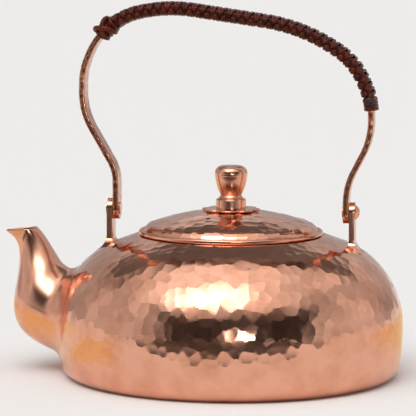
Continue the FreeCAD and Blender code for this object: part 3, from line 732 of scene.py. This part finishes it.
def bail_runs():
    """The bail's middle line as runs of (start, heading, length, bend centre or None)."""
    foot = PIVOT_Z - BAR_WIDE / 2
    places = [Vector((-LEG_X, 0, foot))]
    places += [Vector((x * MM, 0, PIVOT_Z + rise * MM)) for x, rise, _ in CORNERS]
    places += [Vector((LEG_X, 0, foot))]
    headings = [(b - a).normalized() for a, b in zip(places, places[1:])]
    runs = []
    start = places[0]
    for index, (_, _, radius) in enumerate(CORNERS):
        radius *= MM
        before, after = headings[index], headings[index + 1]
        turn = before.angle(after)
        cut = radius * math.tan(turn / 2)
        leave = places[index + 1] - before * cut
        runs.append((start, before, (leave - start).length, None))
        inward = (after - before).normalized()
        centre = places[index + 1] + inward * radius / math.cos(turn / 2)
        runs.append((leave, before, radius * turn, centre))
        start = places[index + 1] + after * cut
    runs.append((start, headings[-1], (places[-1] - start).length, None))
    return runs


RUNS = bail_runs()
BAIL_LENGTH = sum(run[2] for run in RUNS)


def bail_at(distance):
    """The bail's middle line at a distance from its spout-side end: point, heading, outward."""
    left = min(max(distance, 0.0), BAIL_LENGTH)
    for start, heading, span, centre in RUNS:
        if left <= span or (start, span) == (RUNS[-1][0], RUNS[-1][2]):
            break
        left -= span
    if centre is None:
        point, along = start + heading * left, heading
    else:
        arm = start - centre
        sign = 1 if arm.cross(heading).y > 0 else -1
        turn = Matrix.Rotation(sign * left / arm.length, 3, "Y")
        point, along = centre + turn @ arm, turn @ heading
    outward = Vector((-along.z, 0, along.x))
    return point, along, outward


def bar_section(half_thick, half_wide, rounding, spacing):
    """A closed ring of (through, across) places round a bar with rounded edges."""
    ring = []
    for quarter in range(4):
        turn = TAU * quarter / 4
        flip = quarter % 2
        long_half, short_half = (half_wide, half_thick) if flip else (half_thick, half_wide)
        corner = Matrix.Rotation(turn, 2) @ Vector((long_half - rounding, short_half - rounding))
        for step in range(4):
            arm = Matrix.Rotation(turn + TAU / 4 * step / 3, 2) @ Vector((rounding, 0))
            ring.append(corner + arm)
        run = 2 * (long_half - rounding)
        count = max(1, round(run / spacing))
        along = Matrix.Rotation(turn + TAU / 4, 2) @ Vector((0, 1))
        ring += [ring[-1] + along * run * (index / count) for index in range(1, count)]
    return ring


def bar_bmesh(start, end, spacing, section):
    """A bar along the bail's line, rounded off about the pins where it reaches its ends."""
    half = BAR_WIDE / 2

    def ring_at(share):
        distance = start + (end - start) * share
        point, _, outward = bail_at(distance)
        short = max(half - min(distance, BAIL_LENGTH - distance), 0.0) / half
        wide = math.sqrt(max(1 - short ** 2, END_LEFT ** 2))
        return [point + outward * through + Vector((0, across * wide, 0))
                for through, across in section]

    bm, first, last = tube(len(section), round((end - start) / spacing), ring_at)
    close_ends(bm, first, last)
    return bm


class KETTLE_OT_bail(bpy.types.Operator):
    """Make the forged bail bar with its fine hammer marks and drilled eyes"""
    bl_idname = "kettle.bail"
    bl_label = "Bail bar"

    def execute(self, context):
        section = bar_section(BAR_THICK / 2, BAR_WIDE / 2, 0.8 * MM, 0.9 * MM)
        bm = bar_bmesh(0.0, BAIL_LENGTH, 0.95 * MM, section)
        draw = random.Random(21)
        places = []
        distance = BAR_PLAIN_END
        while distance < BAIL_LENGTH - BAR_PLAIN_END:
            point, along, outward = bail_at(distance)
            for side in (-1, 1):
                for across in (-4, 0, 4):
                    shift = along * draw.uniform(-1, 1) * MM
                    places.append(point + shift + outward * side * BAR_THICK / 2
                                  + Vector((0, (across + draw.uniform(-0.8, 0.8)) * MM, 0)))
                places.append(point + along * draw.uniform(-1, 1) * MM
                              + Vector((0, side * BAR_WIDE / 2, 0)))
            distance += BAR_ROW
        bm.normal_update()
        planish(list(bm.verts), places, BAR_MARK, BAR_BLOW, 22, self.plain_eyes)
        piece = place_piece(bm, "forged_bar", "bail", "forged", ["bail_bar"])
        drill = rod(PIN_R, -BODY_R, BODY_R)
        bmesh.ops.rotate(drill, verts=drill.verts, cent=(0, 0, 0),
                         matrix=Matrix.Rotation(TAU / 4, 3, "Y"))
        bmesh.ops.translate(drill, verts=drill.verts, vec=(0, 0, PIVOT_Z))
        carve(piece, drill)
        piece.data.shade_smooth()
        return {"FINISHED"}

    def plain_eyes(self, point):
        """The bar is filed flat round its eyes, where it turns against the ears."""
        return max(EYE_LEFT, rise(math.hypot(point.y, point.z - PIVOT_Z), *EYE_FADE))


# ---------------------------------------------------------------- plaited cord

KNOT_START = 107 * MM
KNOT_END = 118 * MM
COLLAR_END = BAIL_LENGTH - 64.3 * MM
COLLAR_START = COLLAR_END - 6.5 * MM
TURN_POINTS = 12
# One crossing of a strand and its hook round the bar's edge: the place along in half pitches, and
# the places across and through as shares of the wrapped bar's half size.
STRAND_PATH = (
    (0.30, -0.72, 1.0), (0.5, 0.0, 1.08), (0.70, 0.72, 1.0), (0.62, 0.97, 0.86),
    (0.72, 1.06, 0.44), (1.0, 1.1, 0.28), (1.28, 1.06, 0.44), (1.38, 0.97, 0.86),
)
# The knot's turns round the bar, in millimetres: place from the knot's start, lean along the bar,
# half size through and across the bar, and the cord's radius.
KNOT_TURNS = (
    (2.6, 1.4, 3.3, 7.3, 1.45), (5.2, -2.4, 3.7, 7.8, 1.5),
    (8.0, 2.0, 3.9, 7.8, 1.5), (10.4, -1.0, 3.5, 7.5, 1.4),
)
# The bights over those turns, in millimetres: the cord's radius and its route, as the place from
# the knot's start, the distance out from the bar's middle and the distance along Y.
KNOT_BIGHTS = (
    (1.4, ((1.6, 3.6, -3.0), (2.2, 4.6, -6.4), (4.4, 3.0, -8.9), (6.4, 0.4, -9.6),
           (8.6, -2.6, -9.0), (9.4, -4.4, -6.6), (8.8, -4.6, -2.5))),
    (1.3, ((10.2, 4.4, -4.0), (9.4, 4.7, -7.0), (6.6, 3.0, -9.2),
           (4.0, -0.2, -9.3), (2.6, -3.2, -7.6), (3.2, -4.4, -4.4))),
    (1.3, ((2.4, 4.4, 5.0), (4.2, 2.8, 8.7), (6.4, -0.2, 9.2), (8.8, -3.6, 7.6))),
)
COLLAR_THROUGH = 3.25 * MM
COLLAR_ACROSS = 7.6 * MM
# The dark bead: half sizes along the bar, along Y and outwards, and its distance along Y.
BEAD = (2.2 * MM, 0.9 * MM, 2.4 * MM)
BEAD_ACROSS = 8.3 * MM


def bar_place(distance, through, across):
    """A point beside the bail: through is away from the kettle, across is along Y."""
    point, _, outward = bail_at(distance)
    return point + outward * through + Vector((0, across, 0))


def cord_tube(points, radius, name, sides=5, closed=False):
    """A round cord along a smooth line through control points, as a mesh with a UV map."""
    data = bpy.data.curves.new(name, "CURVE")
    data.dimensions = "3D"
    data.bevel_depth = radius
    data.bevel_resolution = sides // 2
    data.use_fill_caps = True
    data.resolution_u = 3
    line = data.splines.new("NURBS")
    line.points.add(len(points) - 1)
    for place, point in zip(line.points, points):
        place.co = (*point, 1.0)
    line.order_u = 3
    line.use_cyclic_u = closed
    line.use_endpoint_u = not closed
    holder = bpy.data.objects.new(name, data)
    bpy.context.scene.collection.objects.link(holder)
    graph = bpy.context.evaluated_depsgraph_get()
    mesh = bpy.data.meshes.new_from_object(holder.evaluated_get(graph))
    bpy.data.objects.remove(holder)
    bpy.data.curves.remove(data)
    bm = bmesh.new()
    bm.from_mesh(mesh)
    bpy.data.meshes.remove(mesh)
    bmesh.ops.remove_doubles(bm, verts=bm.verts, dist=1e-7)
    bmesh.ops.recalc_face_normals(bm, faces=bm.faces)
    return bm


def joined(parts, name, node):
    """Several lengths of cord as one piece that stands for its CAD node."""
    whole = bmesh.new()
    whole.loops.layers.uv.new("cord")
    for part in parts:
        mesh = bpy.data.meshes.new("part")
        part.to_mesh(mesh)
        part.free()
        for layer in mesh.uv_layers[:1]:
            layer.name = "cord"
        whole.from_mesh(mesh)
        bpy.data.meshes.remove(mesh)
    return place_piece(whole, name, "bail", "cord", [node])


def strand(start, end, pitch, side, thick):
    """One working strand of the plait, which crosses one face of the bar and hooks each edge."""
    top = BAR_THICK / 2 + thick / 2 + 0.1 * MM
    edge = BAR_WIDE / 2 + thick / 2 + 0.25 * MM
    half = pitch / 2
    draw = random.Random(31 if side > 0 else 32)
    points = []
    place = start if side > 0 else start + half
    turn = 1
    while place + half < end:
        wobble = draw.uniform(-0.06, 0.06) * pitch
        for along, across, through in STRAND_PATH:
            points.append(bar_place(place + along * half + wobble, side * top * through,
                                    turn * edge * across))
        place += half
        turn = -turn
    return points


class KETTLE_OT_wrap(bpy.types.Operator):
    """Make the plaited cord round the bail, with the knot and the collar at its ends"""
    bl_idname = "kettle.wrap"
    bl_label = "Cord wrap"

    def execute(self, context):
        size = shape()
        thick = size.cord
        lining = bar_section(BAR_THICK / 2 + 0.55 * MM, BAR_WIDE / 2 + 0.6 * MM, 0.9 * MM, 4 * MM)
        core = bar_bmesh(KNOT_END - 3 * MM, COLLAR_START + 2 * MM, 4 * MM, lining)
        parts = [core]
        for side in (1, -1):
            line = strand(KNOT_END - 2 * MM, COLLAR_START + 2 * MM, size.weave, side, thick)
            parts.append(cord_tube(line, thick / 2, "strand"))
        joined(parts, "plaited_cord", "cord_wrap")
        self.knot()
        self.collar()
        return {"FINISHED"}

    def turn_round(self, distance, lean, through, across, radius):
        """One oval turn of cord round the bar, leaning along it from one side to the other."""
        points = []
        for step in range(TURN_POINTS):
            angle = TAU * step / TURN_POINTS
            points.append(bar_place(distance + lean * math.sin(angle) / 2,
                                    through * math.cos(angle), across * math.sin(angle)))
        return cord_tube(points, radius, "turn", closed=True)

    def knot(self):
        padding = bar_section(2.9 * MM, 7.0 * MM, 1.5 * MM, 4 * MM)
        parts = [bar_bmesh(KNOT_START + 2 * MM, KNOT_END + 1 * MM, 2 * MM, padding)]
        for turn in KNOT_TURNS:
            along, *sizes = [size * MM for size in turn]
            parts.append(self.turn_round(KNOT_START + along, *sizes))
        for radius, route in KNOT_BIGHTS:
            line = [bar_place(KNOT_START + along * MM, out * MM, side * MM)
                    for along, out, side in route]
            parts.append(cord_tube(line, radius * MM, "bight"))
        joined(parts, "start_knot", "wrap_knot")

    def collar(self):
        parts = []
        for index in range(4):
            distance = COLLAR_START + (0.9 + 1.55 * index) * MM
            parts.append(self.turn_round(distance, 0.5 * MM, COLLAR_THROUGH, COLLAR_ACROSS,
                                         1.0 * MM))
        joined(parts, "end_collar", "wrap_collar")
        # A near-black, glossy bead beside the collar's first turn, on its -Y edge.
        bead = bmesh.new()
        bmesh.ops.create_uvsphere(bead, u_segments=20, v_segments=12, radius=1.0)
        point, along, outward = bail_at(COLLAR_START + 1.0 * MM)
        long, flat, high = BEAD
        for vert in bead.verts:
            local = vert.co.copy()
            vert.co = (point + along * local.x * long + outward * local.z * high
                       + Vector((0, local.y * flat - BEAD_ACROSS, 0)))
        bmesh.ops.recalc_face_normals(bead, faces=bead.faces)
        place_piece(bead, "cord_end", "bail", "dark_bead")


# ---------------------------------------------------------------- ears

SOFTENED_WIDTH = 0.45 * MM
SOFTENED_FROM = math.radians(35)
SOFTENED_SHARP = math.radians(40)


def softened(name, node):
    """A copy of one of the kettle's CAD nodes with its sharp edges rounded."""
    bm = bmesh.new()
    bm.from_mesh(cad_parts[node].data)
    bmesh.ops.remove_doubles(bm, verts=bm.verts, dist=2e-6)
    bmesh.ops.dissolve_limit(bm, angle_limit=math.radians(0.5), verts=bm.verts, edges=bm.edges)
    sharp = [edge for edge in bm.edges
             if edge.is_manifold and edge.calc_face_angle(0) > SOFTENED_FROM]
    bmesh.ops.bevel(bm, geom=sharp, affect="EDGES", offset=SOFTENED_WIDTH, segments=3, profile=0.5,
                    material=-1, clamp_overlap=True)
    piece = place_piece(bm, name, "kettle", "smooth", [node])
    piece.data.set_sharp_from_angle(angle=SOFTENED_SHARP)
    return piece


class KETTLE_OT_ears(bpy.types.Operator):
    """Make the two forged ears with rounded edges"""
    bl_idname = "kettle.ears"
    bl_label = "Ears and pins"

    def execute(self, context):
        for side in ("far", "spout_side"):
            softened(f"forged_ear_{side}", f"ear_{side}")
        return {"FINISHED"}


# ---------------------------------------------------------------- lid

LIP_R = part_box("lid_dome")[1].x
DOME_ROUND = 133 * MM
TURN_ROUND = 6.5 * MM
TURN_END = math.radians(65)
LIP_Z = LID_LOW + 1.4 * MM
TURN_Z = LIP_Z - 1.4 * MM
SKIRT_INNER_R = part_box("lid_skirt")[1].x - 1.0 * MM
LID_STEPS = 400
LID_GRAIN = 0.72 * MM
# The lid's marks are deeper, more uneven and lean further than the vessel's, by these factors.
LID_BLOW = (1.2, 1.2, 1.6)
# The marks grow over these distances from the axis and end over this width at the lip.
MIDDLE_FADE = (6 * MM, 12 * MM)
LIP_FADE = 0.8 * MM
VENT_R = 1.4 * MM
VENT_PLACE = (-9 * MM, -25 * MM)


def lid_outline(inward):
    """The dome's section from the stud's hole down to the lip."""
    lean = math.asin(SKIRT_INNER_R / (DOME_ROUND - 1.0 * MM))
    turn_r = (DOME_ROUND - TURN_ROUND) * math.sin(lean)
    centre = TURN_Z - (DOME_ROUND - TURN_ROUND) * math.cos(lean)
    dome = DOME_ROUND - inward
    turn = TURN_ROUND - inward
    hole = 2.1 * MM
    return [
        (hole, centre + math.sqrt(dome ** 2 - hole ** 2)),
        (dome * math.sin(lean), centre + dome * math.cos(lean), dome, -1),
        (turn_r + turn * math.sin(TURN_END), TURN_Z + turn * math.cos(TURN_END), turn, -1),
        (LIP_R - inward, LIP_Z - inward),
    ]


class KETTLE_OT_lid(bpy.types.Operator):
    """Make the hammered dome of the lid with its steam vent"""
    bl_idname = "kettle.lid"
    bl_label = "Lid dome"

    def execute(self, context):
        size = shape()
        outer = walk(lid_outline(0.0), LID_GRAIN)
        lip = Vector((LIP_R, 0, LIP_Z - size.lid_wall))
        inner = walk(lid_outline(size.lid_wall), 3 * MM)[::-1]
        bm = spun(outer + [lip] + inner, LID_STEPS)
        bm.normal_update()
        skin = [vert for vert in bm.verts if vert.normal.z > 0.2]
        places = strikes_round(outer, size.facet, 41)
        blow = [amount * factor
                for amount, factor in zip((size.dish, size.uneven, size.lean), LID_BLOW)]
        planish(skin, places, size.facet, blow, 42, self.plain_centre)
        piece = place_piece(bm, "hammered_lid", "lid", "hammered",
                            ["lid_dome"])
        carve(piece, rod(VENT_R, SEAT_Z, DOME_TOP + 5 * MM, *VENT_PLACE, 24))
        piece.data.shade_smooth()
        piece.data.set_sharp_from_angle(angle=RIDGE_ANGLE)
        return {"FINISHED"}

    def plain_centre(self, point):
        """The dome is left smooth under the rosette and at its lip."""
        reach = math.hypot(point.x, point.y)
        return rise(reach, *MIDDLE_FADE) * rise(LIP_R - reach, 0.0, LIP_FADE)


PETALS = 8
# The petals start here; each is round over this share of its width either side of its middle, and
# the notch between two goes in by this share of the reach.
PETAL_START = 9 * MM
PETAL_HALF = 0.56
NOTCH = 0.30
# The edge is bent down, by this at a notch, and by the second less at a petal's middle.
NOTCH_DROP = 0.75 * MM
PETAL_LIFT = 0.2 * MM


class KETTLE_OT_rosette(bpy.types.Operator):
    """Make the petalled rosette under the knob"""
    bl_idname = "kettle.rosette"
    bl_label = "Rosette"

    def execute(self, context):
        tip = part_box("rosette")[1].x
        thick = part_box("rosette")[1].z - DOME_TOP
        points = walk([(PIN_R, 0.0), (tip, 0.0)], (tip - PIN_R) / 22)
        bm = spun(points, 192, closed=False)
        for face in bm.faces:
            if face.normal.z < 0:
                face.normal_flip()
        for vert in bm.verts:
            reach = math.hypot(vert.co.x, vert.co.y)
            angle = math.atan2(vert.co.y, vert.co.x)
            across = (angle / (TAU / PETALS) + 0.5) % 1.0 - 0.5
            petal = math.sqrt(max(0.0, 1 - (across / PETAL_HALF) ** 2))
            share = max(0.0, (reach - PETAL_START) / (tip - PETAL_START))
            pull = 1 - NOTCH * (1 - petal) * share
            curl = (PETAL_LIFT * petal - NOTCH_DROP) * share ** 1.5
            vert.co = Vector((vert.co.x * pull, vert.co.y * pull, DOME_TOP + thick + curl))
        piece = place_piece(bm, "petalled_rosette", "lid", "smooth", ["rosette"])
        body = piece.modifiers.new("sheet", "SOLIDIFY")
        body.thickness = thick * 0.9
        body.offset = -1
        return {"FINISHED"}


class KETTLE_OT_fittings(bpy.types.Operator):
    """Give the plain turned parts their finishes"""
    bl_idname = "kettle.fittings"
    bl_label = "Turned parts"

    def execute(self, context):
        finishes = {"mouth_ring": "inner", "lid_skirt": "smooth", "lid_rim": "smooth",
                    "knob": "smooth", "pin_far": "smooth", "pin_spout_side": "smooth",
                    "knob_stud": "brass", "knob_washer": "brass", "knob_nut": "brass"}
        for node, name in finishes.items():
            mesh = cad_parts[node].data
            mesh.materials.clear()
            mesh.materials.append(finish(name))
        return {"FINISHED"}


# ---------------------------------------------------------------- studio

CAMERA_PLACE = Vector((0.19273, -1.37133, 0.24572))
CAMERA_TARGET = Vector((-0.01367, 0.00580, 0.09149))
CAMERA_ROLL = math.radians(-0.17)
LAMP_PLACE = Vector((0.42, -1.50, 0.24))
LAMP_TARGET = Vector((0.0, 0.0, 0.06))
LAMP_SIZE = (0.34, 0.26)
LAMP_WATTS = 2.2
FLOOR_R = 20.0
# The room is turned by this about Z against the kettle.
FRONT_TURN = math.radians(13)
# Dark parts of the room: the part of the direction that fades each edge, where that edge starts
# and ends, and the share of the light that is left inside.
DARK_PARTS = (
    ((("Y", -0.05, -0.30), ("side", 0.88, 0.66), ("Z", 0.70, 0.46)), 0.07),
    ((("Y", 0.30, 0.45), ("Z", 0.48, 0.62), ("Z", 0.90, 0.80)), 0.20),
)
# The light of the surround is uneven from the first to the second of these shares.
UNEVEN_LIGHT = (0.68, 1.32)
# Cards: low and high corner in metres, linear radiance and the width of their faded edges.
DARK = (0.05, 0.05, 0.05)
WARM = (0.88, 0.73, 0.43)
CARDS = {
    "dark_card": ((-0.75, -2.5), (0.75, -0.21), DARK, 0.004),
    "warm_card_back": ((-0.46, -0.02), (0.46, 0.46), WARM, 0.14),
    "warm_card_spout": ((-0.27, -0.13), (-0.105, 0.02), WARM, 0.04),
}
# Glows of the surround: direction, outer and inner angle in degrees, and strength.
GLOWS = (
    ((-0.36, -0.48, 0.80), 20, 3, 2.6), ((-0.10, -0.50, 0.86), 22, 3, 2.6),
    ((-0.14, -0.42, 0.90), 56, 6, 0.55), ((-0.9, -0.2, 0.5), 60, 5, 0.22),
    ((0.95, -0.1, 0.45), 60, 5, 0.22), ((0.1, 0.5, 0.87), 50, 15, 0.3),
)


def inside(tree, edges):
    """1 inside every edge and 0 outside; an edge is a value, where it starts and where it ends."""
    share = 1.0
    for value, start, end in edges:
        step = add(tree, "ShaderNodeMapRange",
                   {"Value": value, "From Min": start, "From Max": end},
                   interpolation_type="SMOOTHSTEP")
        share = add(tree, "ShaderNodeMath", {0: share, 1: step.outputs["Result"]},
                    operation="MULTIPLY").outputs["Value"]
    return share


def card(name, low, high, tone, blend):
    """A card lying on the floor that only the metal mirrors, with edges that fade over blend."""
    bm = bmesh.new()
    middle = (Vector(low) + Vector(high)) / 2
    bmesh.ops.create_grid(bm, x_segments=1, y_segments=1, size=0.5)
    bmesh.ops.scale(bm, verts=bm.verts, vec=(high[0] - low[0], high[1] - low[1], 1.0))
    bmesh.ops.translate(bm, verts=bm.verts, vec=(*middle, 0.5 * MM))
    material, tree, shader = new_material(name)
    piece = link_object(bm, name, material)
    place = add(tree, "ShaderNodeTexCoord", {}).outputs["Object"]
    parts = add(tree, "ShaderNodeSeparateXYZ", {"Vector": place}).outputs
    edges = [(parts[axis], edge, edge + inward * blend)
             for number, axis in enumerate("XY")
             for edge, inward in ((low[number], 1), (high[number], -1))]
    feed(tree, shader, {"Alpha": inside(tree, edges), "Emission Color": (*tone, 1.0),
                        "Emission Strength": 1.0, "Base Color": (0.0, 0.0, 0.0, 1.0),
                        "Roughness": 1.0, "Specular IOR Level": 0.0})
    for ray in ("camera", "diffuse", "shadow", "transmission", "volume_scatter"):
        setattr(piece, f"visible_{ray}", False)


class KETTLE_OT_studio(bpy.types.Operator):
    """Make the floor, the soft light and the camera"""
    bl_idname = "kettle.studio"
    bl_label = "Studio"

    def execute(self, context):
        studio = context.scene.kettle_studio
        self.camera(context, studio)
        self.floor()
        self.surround(context, studio)
        self.lamp(context)
        for name, sizes in CARDS.items():
            card(name, *sizes)
        return {"FINISHED"}

    def lamp(self, context):
        data = bpy.data.lights.new("lamp", "AREA")
        data.shape = "RECTANGLE"
        data.size, data.size_y = LAMP_SIZE
        data.energy = LAMP_WATTS
        lamp = bpy.data.objects.new("lamp", data)
        lamp.location = LAMP_PLACE
        lamp.rotation_euler = (LAMP_TARGET - LAMP_PLACE).to_track_quat("-Z", "Y").to_euler()
        context.scene.collection.objects.link(lamp)

    def camera(self, context, studio):
        data = bpy.data.cameras.new("camera")
        data.lens = studio.lens
        data.sensor_width = 36.0
        data.clip_start, data.clip_end = 0.05, 20.0
        camera = bpy.data.objects.new("camera", data)
        aim = CAMERA_TARGET - CAMERA_PLACE
        roll = Matrix.Rotation(CAMERA_ROLL, 4, aim.normalized())
        camera.matrix_world = (Matrix.Translation(CAMERA_PLACE)
                               @ (roll @ aim.to_track_quat("-Z", "Y").to_matrix().to_4x4()))
        context.scene.collection.objects.link(camera)
        context.scene.camera = camera

    def floor(self):
        bm = bmesh.new()
        bmesh.ops.create_circle(bm, cap_ends=True, segments=64, radius=FLOOR_R)
        material, shader = grained("Paper, matt", 2.5 * MM, ("#F2F0EE", finish_of().floor),
                                   None, 0.9)
        shader.inputs["Specular IOR Level"].default_value = 0.0
        link_object(bm, "floor", material)

    def surround(self, context, studio):
        world = bpy.data.worlds.new("surround")
        world.use_nodes = True
        tree = world.node_tree
        shade = tree.nodes["Background"]
        direction = add(tree, "ShaderNodeTexCoord", {}).outputs["Generated"]
        way = add(tree, "ShaderNodeMapping",
                  {"Vector": direction, "Rotation": (0, 0, -FRONT_TURN)}).outputs["Vector"]
        parts = dict(add(tree, "ShaderNodeSeparateXYZ", {"Vector": way}).outputs.items())
        parts["side"] = add(tree, "ShaderNodeMath", {0: parts["X"]},
                            operation="ABSOLUTE").outputs["Value"]
        light = studio.world
        for toward, wide, narrow, strength in GLOWS:
            near = add(tree, "ShaderNodeVectorMath", {0: way, 1: Vector(toward).normalized()},
                       operation="DOT_PRODUCT").outputs["Value"]
            edge = (near, math.cos(math.radians(wide)), math.cos(math.radians(narrow)))
            light = add(tree, "ShaderNodeMath", {0: inside(tree, [edge]), 1: strength, 2: light},
                        operation="MULTIPLY_ADD").outputs["Value"]
        shares = []
        for edges, left in DARK_PARTS:
            dark = inside(tree, [(parts[part], start, end) for part, start, end in edges])
            shares.append(add(tree, "ShaderNodeMapRange",
                              {"Value": dark, "To Min": 1.0, "To Max": left}))
        cloud = add(tree, "ShaderNodeTexNoise", {"Vector": way, "Scale": 3.5, "Detail": 2.0})
        shares.append(add(tree, "ShaderNodeMapRange",
                          {"Value": cloud.outputs["Fac"], "From Min": 0.3, "From Max": 0.7,
                           "To Min": UNEVEN_LIGHT[0], "To Max": UNEVEN_LIGHT[1]}))
        for share in shares:
            light = add(tree, "ShaderNodeMath", {0: light, 1: share.outputs["Result"]},
                        operation="MULTIPLY").outputs["Value"]
        seen = add(tree, "ShaderNodeLightPath", {}).outputs["Is Camera Ray"]
        strength = add(tree, "ShaderNodeMix", {0: seen, 2: light, 3: studio.backdrop})
        feed(tree, shade, {"Strength": strength.outputs["Result"], "Color": (1.0, 1.0, 1.0, 1.0)})
        context.scene.world = world
        context.scene.view_settings.view_transform = "Standard"


class KETTLE_PT_panel(bpy.types.Panel):
    """Lists the kettle's pieces"""
    bl_idname = "KETTLE_PT_panel"
    bl_label = "Copper kettle"
    bl_space_type = "VIEW_3D"
    bl_region_type = "UI"
    bl_category = "Kettle"

    def draw(self, context):
        for group in (context.scene.kettle_shape, context.scene.kettle_finish,
                      context.scene.kettle_studio):
            box = self.layout.box()
            for name in group.bl_rna.properties.keys():
                if name not in ("rna_type", "name"):
                    box.prop(group, name)
        for operator in OPERATORS:
            self.layout.operator(operator.bl_idname)


OPERATORS = [KETTLE_OT_studio, KETTLE_OT_vessel, KETTLE_OT_spout, KETTLE_OT_ears,
             KETTLE_OT_bail, KETTLE_OT_wrap, KETTLE_OT_lid, KETTLE_OT_rosette,
             KETTLE_OT_fittings]
GROUPS = {"kettle_shape": KettleShape, "kettle_finish": KettleFinish,
          "kettle_studio": KettleStudio}


def register():
    for group in GROUPS.values():
        bpy.utils.register_class(group)
    for operator in OPERATORS:
        bpy.utils.register_class(operator)
    bpy.utils.register_class(KETTLE_PT_panel)
    for name, group in GROUPS.items():
        setattr(bpy.types.Scene, name, bpy.props.PointerProperty(type=group))


def unregister():
    for name in GROUPS:
        delattr(bpy.types.Scene, name)
    for item in [KETTLE_PT_panel] + OPERATORS[::-1] + list(GROUPS.values()):
        bpy.utils.unregister_class(item)


def main():
    register()
    for operator in OPERATORS:
        group, call = operator.bl_idname.split(".")
        getattr(getattr(bpy.ops, group), call)()


if __name__ == "__main__":
    main()
